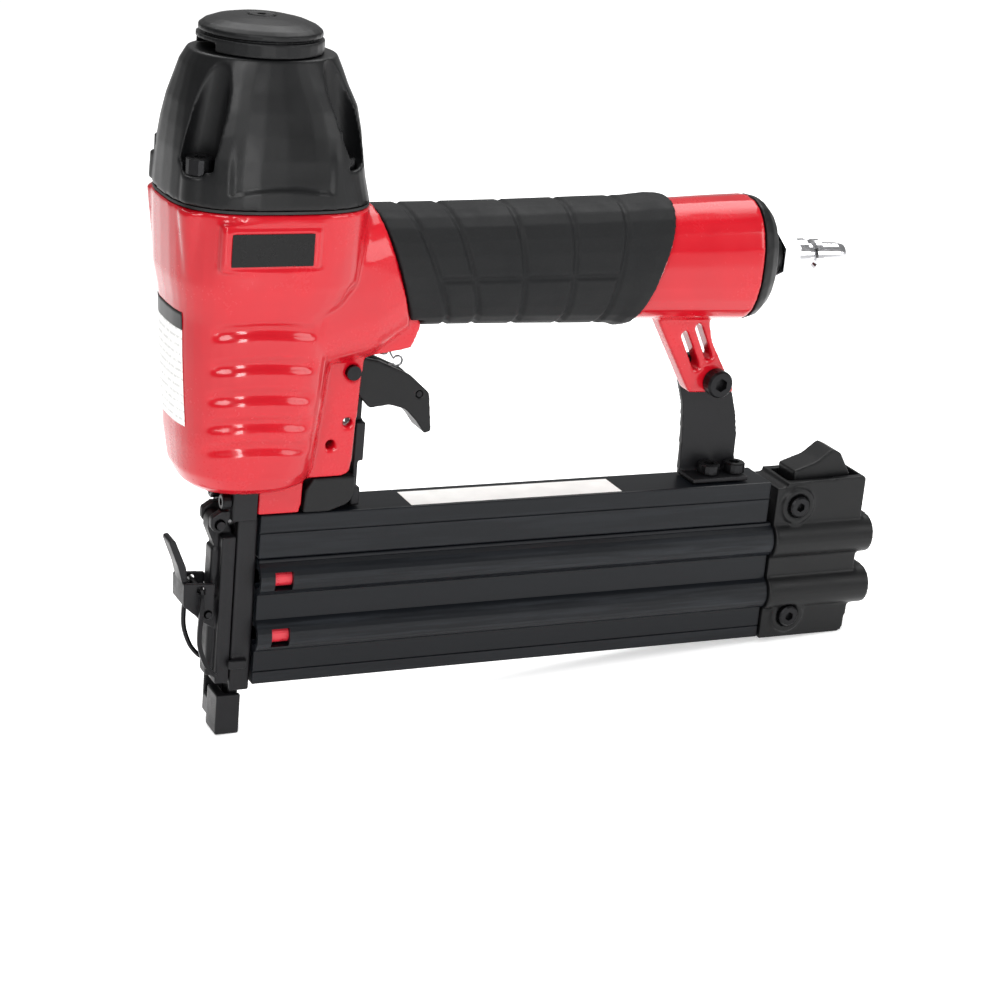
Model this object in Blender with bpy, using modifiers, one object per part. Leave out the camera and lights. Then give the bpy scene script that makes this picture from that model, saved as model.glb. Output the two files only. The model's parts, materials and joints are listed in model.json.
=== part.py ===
"""A pneumatic nail gun (brad nailer), built as separate solids around its driver axis.

Lengths in this file are millimetres, turned into metres as each solid is made.
X runs from the head towards the air plug, Z up along the driver, and y = 0 is the plane of symmetry.
The drawing's origin is on the driver axis at the contact tip's lower end. The root empty then moves
the whole tool along X so that the part's own origin is below the middle of its length.
"""

import math

import bmesh
import bpy
from mathutils import Matrix, Vector

MM = 0.001
GAP = 0.3
ROOT_SHIFT = -105.35

# Head
SEAM_Z = 181.0
HEAD_FRONT, HEAD_BACK, HEAD_HALF_WIDTH = -29.3, 35.3, 28.0
BORE_RADIUS, BORE_LOW = 20.3, 96.0
SLEEVE_OUTER, SLEEVE_INNER = 20.0, 17.8
SLEEVE_LOW, SLEEVE_HIGH = 104.0, 177.0
GASKET = 0.8
CAP_TOP_Z = 226.0
CAP_SCREW_X, CAP_SCREW_Y, CAP_SCREW_SEAT = 22.5, 16.0, 191.4
DEFLECTOR_RADIUS, DEFLECTOR_LOW, DEFLECTOR_TOP = 19.0, 226.3, 236.6

# Handle
HANDLE_Z = 158.0
CORE_HALF_HEIGHT, CORE_HALF_WIDTH = 18.0, 13.6
TUBE_HALF_HEIGHT, TUBE_HALF_WIDTH = 21.4, 16.6
GRIP_FRONT_TOP, GRIP_FRONT_LOW = 37.5, 53.5
GRIP_BACK, GRIP_BACK_LEAN = 138.0, -7.0
TUBE_BACK = 177.0
AIR_BORE = 9.0
PLUG_BACK = 217.0

# Trigger group
WEB_HALF_WIDTH = 10.0
TRIGGER_PIN = (33.9, 125.3)
TRIP_PIN = (59.6, 115.4)
TRIGGER_HALF_WIDTH = 5.4
VALVE_X, STEM_LOW = 48.0, 128.0
SPRING_EYE, SPRING_EYE_RADIUS, SPRING_Y = (50.1, 127.7), 1.7, -7.0

# Nose and magazine
NOSE_HALF_WIDTH = 7.0
DOOR_FRONT, DOOR_BACK = -5.6, -0.9
NOSE_FRONT, NOSE_BACK = -0.6, 6.2
TIP_HALF_WIDTH = 5.2
DOOR_PIN = (-6.4, 74.8)
LATCH_PIN = (-8.8, 44.0)
BAIL_PIN = (-11.5, 52.5)
NOSE_SCREW_Y, NOSE_SCREW_Z = 5.8, 82.6
RAIL_TOP, RAIL_LOW = 77.8, 62.8
MAG_LOW, MAG_FRONT, MAG_BACK = 18.8, 6.5, 198.0
MAG_HALF_WIDTH = 8.5
BULGE_LEVELS = (55.8, 36.0)
BULGE_RADIUS, BULGE_REACH = 6.3, 11.8
SPRING_BORE_Y, SPRING_BORE = -7.3, 3.2
END_BACK = 234.8
UPPER_SCREW, LOWER_SCREW = (206.9, 69.0), (208.2, 27.3)
THUMB_PIN = (226.5, 72.0)
LUG_BOLT = (170.6, 114.6)
FLANGE = 1.6
HANGER_SCREWS = (174.5, 184.7)

PAINT = ((0.62, 0.012, 0.022), 0.22, 0.0)
SATIN_BLACK = ((0.012, 0.012, 0.013), 0.42, 0.0)
RUBBER = ((0.018, 0.018, 0.019), 0.75, 0.0)
ANODISED = ((0.018, 0.022, 0.028), 0.38, 0.6)
DARK_STEEL = ((0.03, 0.031, 0.034), 0.4, 0.8)
BRIGHT_STEEL = ((0.55, 0.55, 0.56), 0.25, 1.0)
ALUMINIUM = ((0.5, 0.5, 0.51), 0.4, 1.0)
SIGNAL_RED = ((0.5, 0.02, 0.02), 0.4, 0.0)


# ---------------------------------------------------------------- modelling helpers
def clear_scene():
    for obj in list(bpy.data.objects):
        bpy.data.objects.remove(obj, do_unlink=True)


def point(x, y, z):
    return Vector((x, y, z)) * MM


def add_solid(bm, orient=True):
    """Turn a bmesh into a working object in the scene, its faces looking outwards."""
    if orient:
        bmesh.ops.recalc_face_normals(bm, faces=bm.faces)
        if bm.calc_volume(signed=True) < 0:
            bmesh.ops.reverse_faces(bm, faces=bm.faces)
    mesh = bpy.data.meshes.new("solid")
    bm.to_mesh(mesh)
    bm.free()
    obj = bpy.data.objects.new("solid", mesh)
    bpy.context.scene.collection.objects.link(obj)
    return obj


def evaluated_solid(obj, orient=True, weld=1e-6):
    """Replace a curve or an object with modifiers by the plain mesh that it evaluates to."""
    graph = bpy.context.evaluated_depsgraph_get()
    mesh = bpy.data.meshes.new_from_object(obj.evaluated_get(graph))
    bm = bmesh.new()
    bm.from_mesh(mesh)
    bm.transform(obj.matrix_world)
    bmesh.ops.remove_doubles(bm, verts=bm.verts, dist=weld)
    bpy.data.meshes.remove(mesh)
    bpy.data.objects.remove(obj, do_unlink=True)
    return add_solid(bm, orient)


def block(x_range, y_range, z_range, bevel=0.0):
    bm = bmesh.new()
    bmesh.ops.create_cube(bm, size=1.0)
    low = point(x_range[0], y_range[0], z_range[0])
    high = point(x_range[1], y_range[1], z_range[1])
    bmesh.ops.scale(bm, vec=high - low, verts=bm.verts)
    bmesh.ops.translate(bm, vec=(high + low) / 2, verts=bm.verts)
    if bevel:
        bmesh.ops.bevel(bm, geom=bm.edges[:], offset=bevel * MM, segments=2, profile=0.5,
                        affect="EDGES", material=-1)
    return add_solid(bm)


def cylinder(start, end, radius, end_radius=None, sides=20):
    """A cylinder or cone between two points (x, y, z)."""
    first, last = point(*start), point(*end)
    along = last - first
    bm = bmesh.new()
    bmesh.ops.create_cone(bm, cap_ends=True, segments=sides, radius1=radius * MM,
                          radius2=(radius if end_radius is None else end_radius) * MM,
                          depth=along.length)
    turn = along.to_track_quat("Z", "Y").to_matrix().to_4x4()
    bm.transform(Matrix.Translation((first + last) / 2) @ turn)
    return add_solid(bm)


def turned(profile, centre=(0.0, 0.0, 0.0), axis="Z", ring=False, sides=30):
    """Spin a profile of (radius, height) points; a ring's profile is a closed loop."""
    count = len(profile)
    edges = [(i, (i + 1) % count) for i in range(count if ring else count - 1)]
    mesh = bpy.data.meshes.new("profile")
    mesh.from_pydata([(r * MM, 0.0, h * MM) for r, h in profile], edges, [])
    obj = bpy.data.objects.new("profile", mesh)
    bpy.context.scene.collection.objects.link(obj)
    screw = obj.modifiers.new("Screw", "SCREW")
    screw.axis = "Z"
    screw.steps = sides
    screw.render_steps = sides
    screw.use_merge_vertices = True
    screw.merge_threshold = 0.00001
    turns = {"Z": Matrix.Identity(4), "X": Matrix.Rotation(math.pi / 2, 4, "Y"),
             "Y": Matrix.Rotation(-math.pi / 2, 4, "X"), "-Y": Matrix.Rotation(math.pi / 2, 4, "X")}
    obj.matrix_world = Matrix.Translation(point(*centre)) @ turns[axis]
    bpy.context.view_layer.update()
    return evaluated_solid(obj)


def rounded(corners, steps=4):
    """Outline (x, z) with arcs: each corner is (x, z, radius)."""
    outline = []
    count = len(corners)
    for i, (x, z, radius) in enumerate(corners):
        here = Vector((x, z))
        if not radius:
            outline.append(here)
            continue
        before = Vector(corners[i - 1][:2]) - here
        after = Vector(corners[(i + 1) % count][:2]) - here
        half = before.angle(after) / 2
        reach = radius / math.tan(half)
        first, last = here + before.normalized() * reach, here + after.normalized() * reach
        centre = here + (before.normalized() + after.normalized()).normalized() * (radius / math.sin(half))
        start = first - centre
        sweep = start.angle_signed(last - centre)
        for step in range(steps + 1):
            turn = Matrix.Rotation(-sweep * step / steps, 2)
            outline.append(centre + turn @ start)
    return outline


def plate(corners, low, high, plane="XZ", steps=4):
    """A flat outline given thickness: plane XZ spans low..high in y, plane YZ spans it in x."""
    curve = bpy.data.curves.new("outline", "CURVE")
    curve.dimensions = "2D"
    curve.fill_mode = "BOTH"
    curve.extrude = (high - low) / 2 * MM
    outline = rounded(corners, steps)
    spline = curve.splines.new("POLY")
    spline.points.add(len(outline) - 1)
    for target, (a, b) in zip(spline.points, outline):
        target.co = (a * MM, b * MM, 0.0, 1.0)
    spline.use_cyclic_u = True
    obj = bpy.data.objects.new("outline", curve)
    bpy.context.scene.collection.objects.link(obj)
    stand = Matrix.Rotation(math.pi / 2, 4, "X")
    middle = (low + high) / 2
    if plane == "XZ":
        obj.matrix_world = Matrix.Translation(point(0, middle, 0)) @ stand
    else:
        obj.matrix_world = Matrix.Translation(point(middle, 0, 0)) @ Matrix.Rotation(math.pi / 2, 4, "Z") @ stand
    bpy.context.view_layer.update()
    return evaluated_solid(obj)


def smooth_path(points, count):
    """Points along a Catmull-Rom curve through the given points."""
    spots = [Vector(p) for p in points]
    spots = [2 * spots[0] - spots[1]] + spots + [2 * spots[-1] - spots[-2]]
    spans = len(spots) - 3
    path = []
    for i in range(count + 1):
        place = spans * i / count
        k = min(int(place), spans - 1)
        t = place - k
        a, b, c, d = spots[k:k + 4]
        path.append(0.5 * (2 * b + (c - a) * t + (2 * a - 5 * b + 4 * c - d) * t * t
                           + (3 * b - a - 3 * c + d) * t ** 3))
    return path


def wire(path, radius, resolution=2, closed=False):
    curve = bpy.data.curves.new("wire", "CURVE")
    curve.dimensions = "3D"
    curve.bevel_depth = radius * MM
    curve.bevel_resolution = resolution
    curve.use_fill_caps = True
    spline = curve.splines.new("POLY")
    spline.points.add(len(path) - 1)
    for target, spot in zip(spline.points, path):
        target.co = (*point(*spot), 1.0)
    spline.use_cyclic_u = closed
    obj = bpy.data.objects.new("wire", curve)
    bpy.context.scene.collection.objects.link(obj)
    bpy.context.view_layer.update()
    return evaluated_solid(obj)


def coil(centre, radius, length, turns, axis="Z", per_turn=10):
    """Points of a helix that starts at centre and runs along the axis."""
    path = []
    for i in range(turns * per_turn + 1):
        angle = 2 * math.pi * i / per_turn
        along = length * i / (turns * per_turn)
        across = (radius * math.cos(angle), radius * math.sin(angle))
        offset = {"Z": (*across, along), "X": (along, *across), "Y": (across[0], along, across[1])}[axis]
        path.append(Vector(centre) + Vector(offset))
    return path


def oval(front, back, half_width, z, power, count=40):
    """A closed ring at height z, a superellipse that is round at low power and square at high."""
    middle, half_length = (front + back) / 2, (back - front) / 2
    ring = []
    for i in range(count):
        angle = 2 * math.pi * i / count
        c, s = math.cos(angle), math.sin(angle)
        ring.append((middle + half_length * math.copysign(abs(c) ** (2 / power), c),
                     half_width * math.copysign(abs(s) ** (2 / power), s), z))
    return ring


def cross_oval(x, half_width, half_height, lean=0.0, power=2.3, count=24, z=HANDLE_Z):
    """A closed ring across the handle; lean moves its lower edge along X."""
    ring = []
    for i in range(count):
        angle = 2 * math.pi * i / count
        c, s = math.cos(angle), math.sin(angle)
        up = math.copysign(abs(s) ** (2 / power), s)
        ring.append((x - lean * up, half_width * math.copysign(abs(c) ** (2 / power), c), z + half_height * up))
    return ring


def loft(rings):
    """A closed solid through rings of equal length."""
    bm = bmesh.new()
    rows = [[bm.verts.new(point(*spot)) for spot in ring] for ring in rings]
    count = len(rows[0])
    for low, high in zip(rows, rows[1:]):
        for i in range(count):
            k = (i + 1) % count
            bm.faces.new((low[i], low[k], high[k], high[i]))
    bm.faces.new(rows[0])
    bm.faces.new(rows[-1])
    return add_solid(bm)


def combine(obj, operation, *others):
    """Join or cut with Booleans; the other solids are used up."""
    for other in others:
        boolean = obj.modifiers.new("Boolean", "BOOLEAN")
        boolean.operation = operation
        boolean.solver = "EXACT"
        boolean.object = other
        bpy.context.view_layer.update()
        obj = evaluated_solid(obj, orient=False)
        bpy.data.objects.remove(other, do_unlink=True)
    return obj


def union(obj, *others):
    return combine(obj, "UNION", *others)


def cut(obj, *others):
    return combine(obj, "DIFFERENCE", *others)


# ---------------------------------------------------------------- scene bookkeeping
class Tool:
    """Names the finished solids, paints them and hangs them on their joints' empties."""

    def __init__(self):
        self.parts = bpy.data.collections.new("pneumatic_nail_gun")
        bpy.context.scene.collection.children.link(self.parts)
        self.root = self.empty("tool_root", (0, 0, 0), None)
        self.materials = {}

    def empty(self, name, place, parent):
        obj = bpy.data.objects.new(name, None)
        self.parts.objects.link(obj)
        obj.location = point(*place)
        if parent:
            obj.parent = parent
            obj.location -= self.world_place(parent)
        bpy.context.view_layer.update()
        return obj

    def world_place(self, obj):
        bpy.context.view_layer.update()
        return obj.matrix_world.translation.copy()

    def material(self, finish):
        if finish not in self.materials:
            colour, roughness, metallic = finish
            material = bpy.data.materials.new(f"finish_{len(self.materials)}")
            material.use_nodes = True
            shader = material.node_tree.nodes["Principled BSDF"]
            shader.inputs["Base Color"].default_value = (*colour, 1.0)
            shader.inputs["Roughness"].default_value = roughness
            shader.inputs["Metallic"].default_value = metallic
            self.materials[finish] = material
        return self.materials[finish]

    def add(self, name, obj, finish, pivot=None):
        pivot = pivot or self.root
        obj.name = name
        obj.data.name = name
        obj.data.materials.clear()
        obj.data.materials.append(self.material(finish))
        obj.data.shade_smooth()
        obj.data.set_sharp_from_angle(angle=math.radians(35))
        for owner in list(obj.users_collection):
            owner.objects.unlink(obj)
        self.parts.objects.link(obj)
        place = self.world_place(pivot)
        obj.data.transform(Matrix.Translation(-place))
        obj.parent = pivot
        return obj


# ---------------------------------------------------------------- head
def head_screw_places():
    return [(x, y) for x in (-CAP_SCREW_X, CAP_SCREW_X) for y in (-CAP_SCREW_Y, CAP_SCREW_Y)]


def body_casting():
    """The painted one-piece casting: head, neck, hollow handle, trigger ears and hanger lug."""
    front, back, half = HEAD_FRONT, HEAD_BACK, HEAD_HALF_WIDTH
    head = loft([
        oval(-15.5, 19.0, 15.5, 88.0, 2.4), oval(-19.0, 22.5, 19.0, 90.5, 2.4),
        oval(-21.4, 23.6, 21.2, 95.0, 2.6), oval(-22.8, 24.0, 22.8, 105.0, 2.8),
        oval(-24.2, 25.6, 23.8, 120.0, 2.8), oval(-25.2, 26.4, 24.3, 135.0, 2.9),
        oval(-25.7, 27.0, 24.8, 146.0, 2.9), oval(-26.4, 31.0, 26.2, 151.0, 3.0),
        oval(front + 1.4, back - 1.3, half, 158.0, 3.0), oval(front, back, half, SEAM_Z, 3.0)])
    neck = loft([
        cross_oval(18.0, 23.0, 26.0, 0.0, 3.0, z=152.0), cross_oval(36.0, 19.0, 24.5, 4.0, 2.8, z=154.0),
        cross_oval(45.5, 16.4, 21.6, 7.5, 2.5)])
    core = loft([cross_oval(34.0, CORE_HALF_WIDTH, CORE_HALF_HEIGHT),
                 cross_oval(GRIP_BACK + 12.0, CORE_HALF_WIDTH, CORE_HALF_HEIGHT)])
    tube = loft([cross_oval(GRIP_BACK + GAP, TUBE_HALF_WIDTH - 0.9, TUBE_HALF_HEIGHT - 1.4, 0.91 * GRIP_BACK_LEAN),
                 cross_oval(160.0, TUBE_HALF_WIDTH - 0.4, TUBE_HALF_HEIGHT - 0.6),
                 cross_oval(TUBE_BACK, TUBE_HALF_WIDTH, TUBE_HALF_HEIGHT)])
    web = plate([(8.0, 90.0, 0), (35.5, 90.4, 3.0), (37.6, 130.0, 0), (53.6, 132.4, 1.5),
                 (56.5, 140.0, 0), (44.0, 160.0, 0), (8.0, 160.0, 0)], -WEB_HALF_WIDTH, WEB_HALF_WIDTH)
    foot = plate([(5.2, RAIL_TOP + GAP, 0), (19.6, RAIL_TOP + GAP, 0), (20.6, 96.0, 0), (5.2, 96.0, 0)],
                 -8.8, 8.8)
    lug = plate([(145.8, 141.0, 0), (145.8, 137.4, 0), (159.2, 114.1, 4.0), (161.3, 110.7, 1.0),
                 (179.4, 110.2, 0.5), (168.2, 128.6, 8.0), (165.9, 137.2, 0), (165.9, 141.0, 0)], -3.6, 3.6)
    plate_frame = block((-18.1, 13.8), (-HEAD_HALF_WIDTH, -20.0), (163.6, 178.2), 0.4)
    casting = union(head, neck, core, tube, web, foot, lug, plate_frame)

    bore = cylinder((0, 0, BORE_LOW), (0, 0, SEAM_Z + 1), BORE_RADIUS, sides=40)
    blade_way = block((-1.4, 1.4), (-4.0, 4.0), (85.0, BORE_LOW + 1))
    plate_seat = block((-15.2, 11.5), (-30.0, -27.2), (165.1, 175.7))
    chamber = cylinder((BORE_RADIUS - 4, 0, HANDLE_Z), (TUBE_BACK + 1, 0, HANDLE_Z), AIR_BORE, sides=28)
    chamber_mouth = cylinder((TUBE_BACK - 8, 0, HANDLE_Z), (TUBE_BACK + 1, 0, HANDLE_Z), 13.0, sides=28)
    trigger_slot = block((27.0, 50.0), (-6.0, 6.0), (106.0, 129.6))
    trigger_relief = plate([(27.0, 118.0, 0), (50.0, 118.0, 0), (46.0, 133.5, 0), (36.0, 133.5, 0),
                            (27.0, 129.5, 0)], -6.0, 6.0)
    arm_relief = block((37.0, 44.0), (-3.2, 3.2), (110.0, 131.0))
    valve_bore = cylinder((VALVE_X, 0, 126.0), (VALVE_X, 0, 151.0), 6.3)
    pin_way = cylinder((TRIGGER_PIN[0], -12, TRIGGER_PIN[1]), (TRIGGER_PIN[0], 12, TRIGGER_PIN[1]), 2.3, sides=20)
    slots = [plate([(x - 1.25, z - 0.6, 1.2), (x + 1.25, z + 0.6, 1.2), (x + 1.25 + run, z + 0.6 - drop, 1.2),
                    (x - 1.25 + run, z - 0.6 - drop, 1.2)], -5.0, 5.0)
             for x, z, run, drop in ((156.5, 132.7, 6.9, 13.6), (161.7, 135.2, 6.2, 12.8))]
    bolt_way = cylinder((LUG_BOLT[0], -5, LUG_BOLT[1]), (LUG_BOLT[0], 5, LUG_BOLT[1]), 3.0, sides=20)
    hole_x = SPRING_EYE[0] - 3.0
    spring_hole = cylinder((hole_x, SPRING_Y, 129.0), (hole_x, SPRING_Y, 136.0), 0.8, sides=12)
    pin_holes = [cylinder((x, -12, z), (x, 12, z), 1.7, sides=16) for x, z in ((33.4, 108.4), (28.0, 101.1))]
    screw_ways = [cylinder((x, y, 166.0), (x, y, SEAM_Z + 1), 2.8, sides=12) for x, y in head_screw_places()]
    nose_screw_ways = [cylinder((3.0, y, NOSE_SCREW_Z), (15.0, y, NOSE_SCREW_Z), 1.9, sides=16)
                       for y in (-NOSE_SCREW_Y, NOSE_SCREW_Y)]
    return cut(casting, bore, blade_way, plate_seat, chamber, chamber_mouth, trigger_slot, trigger_relief, arm_relief,
               valve_bore, pin_way, bolt_way, spring_hole, *slots, *pin_holes, *screw_ways, *nose_screw_ways)


def cylinder_cap():
    """The black cap: domed, fluted for its four screws, hollow, with exhaust ports in its top."""
    base = SEAM_Z + GASKET + 2 * GAP
    front, back, half = HEAD_FRONT, HEAD_BACK, HEAD_HALF_WIDTH
    shell = loft([oval(front + 0.1, back - 0.3, half, base, 3.0),
                  oval(front + 0.5, back - 2.3, half - 0.2, 190.0, 3.0),
                  oval(-28.6, 32.0, 27.2, 197.0, 2.9), oval(-27.9, 31.4, 25.8, 204.0, 2.8),
                  oval(-26.9, 30.2, 24.0, 211.0, 2.6), oval(-25.4, 27.4, 22.0, 217.0, 2.4),
                  oval(-24.2, 25.6, 20.6, 222.0, 2.2), oval(-22.0, 23.8, 19.4, CAP_TOP_Z, 2.1)])
    bulge = loft([oval(10.0, back + 0.6, 13.0, base, 2.6), oval(10.0, back - 0.8, 12.0, 196.0, 2.6),
                  oval(10.0, back - 2.8, 9.0, 205.0, 2.4), oval(10.0, 25.0, 4.0, 211.0, 2.2)])
    shell = union(shell, bulge)
    flutes = [cylinder((x * 1.04, y * 1.06, CAP_SCREW_SEAT + 2), (x * 0.835, y * 1.125, CAP_TOP_Z), 6.6, 4.5, 16)
              for x, y in head_screw_places()]
    seats = [cylinder((x, y, CAP_SCREW_SEAT), (x, y, CAP_SCREW_SEAT + 9), 5.0, sides=16) for x, y in head_screw_places()]
    cavity = turned([(0.0, 212.0), (12.0, 211.0), (17.5, 205.0), (20.3, 196.0), (20.3, base - 1), (0.0, base - 1)],
                    sides=40)
    ports = [cylinder((11 * math.cos(a), 11 * math.sin(a), 208.0), (11 * math.cos(a), 11 * math.sin(a), 231.0),
                      3.0, sides=14) for a in (math.radians(60 + 120 * k) for k in range(3))]
    centre_way = cylinder((0, 0, 208.0), (0, 0, 231.0), 2.4, sides=16)
    screw_ways = [cylinder((x, y, base - 1), (x, y, CAP_SCREW_SEAT + 2), 2.8, sides=12)
                  for x, y in head_screw_places()]
    return cut(shell, *flutes, *seats, cavity, *ports, centre_way, *screw_ways)


def head_gasket():
    low, high = SEAM_Z + GAP, SEAM_Z + GAP + GASKET
    sheet = loft([oval(HEAD_FRONT + 0.3, HEAD_BACK - 0.3, HEAD_HALF_WIDTH - 0.3, z, 3.0) for z in (low, high)])
    bore = cylinder((0, 0, low - 1), (0, 0, high + 1), BORE_RADIUS, sides=32)
    holes = [cylinder((x, y, low - 1), (x, y, high + 1), 2.8, sides=12) for x, y in head_screw_places()]
    return cut(sheet, bore, *holes)


def socket_screw(x, y, seat, head=(4.2, 5.0), shank=(2.5, 23.0), socket=2.0):
    """A socket-head screw standing on seat with its shank going down."""
    body = turned([(0.0, head[1]), (head[0] - 0.4, head[1]), (head[0], head[1] - 0.4), (head[0], 0.0),
                   (shank[0], 0.0), (shank[0], -shank[1]), (0.0, -shank[1])], (x, y, seat + 0.05), sides=16)
    return cut(body, cylinder((x, y, seat + head[1] - 2.4), (x, y, seat + head[1] + 1), socket, sides=6))


def side_screw(x, z, face, head=(3.8, 2.6), shank=(2.0, 14.0), socket=1.7):
    """A socket-head screw along Y whose head stands on the near face, at y = face."""
    body = turned([(0.0, head[1]), (head[0] - 0.5, head[1]), (head[0], head[1] - 0.5), (head[0], 0.0),
                   (shank[0], 0.0), (shank[0], -shank[1]), (0.0, -shank[1])], (x, face, z), axis="-Y", sides=16)
    return cut(body, cylinder((x, face - head[1] + 1.7, z), (x, face - head[1] - 1, z), socket, sides=6))


def exhaust_deflector():
    """A domed disc on a collar that is open on one side, so that turning it aims the exhaust."""
    low, top = DEFLECTOR_LOW, DEFLECTOR_TOP
    rim = DEFLECTOR_RADIUS
    dome = turned([(0.0, top - 0.6), (3.6, top - 0.6), (5.4, top), (9.0, top - 0.3), (14.0, top - 1.3),
                   (17.4, top - 2.6), (rim, top - 3.9), (rim, top - 5.4), (17.2, top - 5.6), (17.2, top - 6.1),
                   (rim + 0.6, top - 6.2), (rim + 0.6, low), (14.6, low), (14.6, top - 7.6), (5.2, top - 6.6),
                   (5.2, low), (0.0, low)])
    opening = block((-24.0, -6.0), (-9.0, 9.0), (low - 1, top - 7.6))
    return cut(dome, opening, cylinder((0, 0, low - 1), (0, 0, top + 1), 2.4, sides=16),
               cylinder((0, 0, top - 2.4), (0, 0, top + 1), 4.2, sides=20))


def add_head(tool):
    tool.add("body_casting", body_casting(), PAINT)
    tool.add("cylinder_cap", cylinder_cap(), SATIN_BLACK)
    tool.add("head_gasket", head_gasket(), RUBBER)
    for number, (x, y) in enumerate(head_screw_places(), 1):
        tool.add(f"cap_screw_{number}", socket_screw(x, y, CAP_SCREW_SEAT), DARK_STEEL)
    sleeve = turned([(SLEEVE_OUTER, SLEEVE_HIGH), (SLEEVE_OUTER, SLEEVE_LOW), (SLEEVE_INNER, SLEEVE_LOW),
                     (SLEEVE_INNER, SLEEVE_HIGH)], ring=True)
    tool.add("cylinder_sleeve", sleeve, ALUMINIUM)
    bumper = turned([(19.6, SLEEVE_LOW - GAP), (19.6, BORE_LOW + GAP), (8.0, BORE_LOW + GAP), (7.0, SLEEVE_LOW - 2),
                     (8.6, SLEEVE_LOW - GAP)], ring=True, sides=28)
    tool.add("bumper", bumper, RUBBER)
    valve = turned([(19.8, 186.0), (19.8, SLEEVE_HIGH + GAP), (14.0, SLEEVE_HIGH + GAP), (12.5, 179.0),
                    (12.5, 186.0)], ring=True, sides=32)
    head_valve = tool.empty("head_valve_axis", (0, 0, SLEEVE_HIGH), tool.root)
    tool.add("head_valve", valve, ALUMINIUM, head_valve)
    tool.add("head_valve_spring", wire(coil((0, 0, 187.2), 14.6, 10.0, 3, per_turn=14), 0.8, 1), BRIGHT_STEEL)
    turn = tool.empty("deflector_axis", (0, 0, DEFLECTOR_LOW), tool.root)
    tool.add("exhaust_deflector", exhaust_deflector(), SATIN_BLACK, turn)
    tool.add("deflector_screw", socket_screw(0, 0, DEFLECTOR_TOP - 2.4 + GAP, (3.8, 2.0), (2.0, 20.0), 1.6),
             DARK_STEEL)


def add_piston(tool):
    axis = tool.empty("piston_axis", (0, 0, 170.0), tool.root)
    top, low = SLEEVE_HIGH - 0.8, SLEEVE_HIGH - 11.0
    piston = turned([(0.0, top), (17.5, top), (17.5, 172.0), (16.0, 172.0), (16.0, 169.2), (17.5, 169.2),
                     (17.5, low), (7.0, low), (5.0, low - 4.0), (0.0, low - 4.0)])
    piston = cut(piston, block((-0.8, 0.8), (-3.3, 3.3), (low - 5.0, low + 3.0)))
    tool.add("piston", piston, ALUMINIUM, axis)
    ring = turned([(17.6, 171.7), (17.6, 169.5), (16.2, 169.5), (16.2, 171.7)], ring=True)
    tool.add("piston_ring", ring, RUBBER, axis)
    tool.add("driver_blade", block((-0.5, 0.5), (-3.0, 3.0), (64.0, low + 2.6)), BRIGHT_STEEL, axis)


# ---------------------------------------------------------------- handle
def grip_sleeve():
    """The rubber sleeve: slanted at the front, with a flared collar at the back."""
    middle = (GRIP_FRONT_TOP + GRIP_FRONT_LOW) / 2
    lean = (GRIP_FRONT_LOW - GRIP_FRONT_TOP) / 2
    outside = loft([cross_oval(middle, 17.0, 19.6, lean), cross_oval(62.0, 17.0, 19.7, 3.0),
                    cross_oval(90.0, 17.0, 20.2), cross_oval(120.0, 17.0, 21.0), cross_oval(128.0, 17.1, 21.2, -3.0),
                    cross_oval(133.5, 18.2, 22.0, -6.2), cross_oval(GRIP_BACK, 18.0, 21.8, GRIP_BACK_LEAN)])
    keep = 0.3
    inside = loft([cross_oval(30.0, CORE_HALF_WIDTH + keep, CORE_HALF_HEIGHT + keep),
                   cross_oval(GRIP_BACK + 12, CORE_HALF_WIDTH + keep, CORE_HALF_HEIGHT + keep)])
    neck_clear = loft([cross_oval(24.0, 22.0, 27.0, 2.0, 2.9, z=153.0), cross_oval(36.4, 19.6, 25.2, 4.0, 2.8, z=154.0),
                       cross_oval(46.0, 16.9, 22.1, 7.5, 2.5)])
    ear_clear = block((20.0, 56.8), (-10.4, 10.4), (120, 148.0))
    return cut(outside, inside, neck_clear, ear_clear)


def add_handle(tool):
    tool.add("grip_sleeve", grip_sleeve(), RUBBER)
    dome = loft([cross_oval(TUBE_BACK + GAP, TUBE_HALF_WIDTH, TUBE_HALF_HEIGHT),
                 cross_oval(TUBE_BACK + 3.4, TUBE_HALF_WIDTH - 0.8, TUBE_HALF_HEIGHT - 0.9),
                 cross_oval(TUBE_BACK + 6.6, 13.6, 17.4), cross_oval(TUBE_BACK + 8.6, 10.0, 12.4)])
    boss = cylinder((TUBE_BACK + 6, 0, HANDLE_Z), (TUBE_BACK + 13, 0, HANDLE_Z), 9.4, 6.4, sides=28)
    spigot = cylinder((TUBE_BACK - 7, 0, HANDLE_Z), (TUBE_BACK + 2, 0, HANDLE_Z), 12.6, sides=28)
    bore = cylinder((TUBE_BACK - 9, 0, HANDLE_Z), (TUBE_BACK + 14, 0, HANDLE_Z), 5.3, sides=24)
    tool.add("handle_end_cap", cut(union(dome, boss, spigot), bore), SATIN_BLACK)
    hex_start = TUBE_BACK + 13 + GAP
    hexagon = cylinder((hex_start, 0, HANDLE_Z), (hex_start + 6.0, 0, HANDLE_Z), 14.0 / math.sqrt(3), sides=6)
    nipple = turned([(0.0, PLUG_BACK - hex_start), (3.4, PLUG_BACK - hex_start), (4.0, 24.0), (4.2, 17.5),
                     (5.3, 16.6), (5.3, 14.4), (4.1, 13.4), (4.1, 11.6), (5.6, 11.0), (5.6, 5.0), (5.0, 5.0),
                     (5.0, -13.0), (0.0, -13.0)], (hex_start, 0, HANDLE_Z), axis="X", sides=28)
    air_way = cylinder((hex_start - 15, 0, HANDLE_Z), (PLUG_BACK + 1, 0, HANDLE_Z), 2.6, sides=16)
    tool.add("air_plug", cut(union(hexagon, nipple), air_way), BRIGHT_STEEL)


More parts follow.
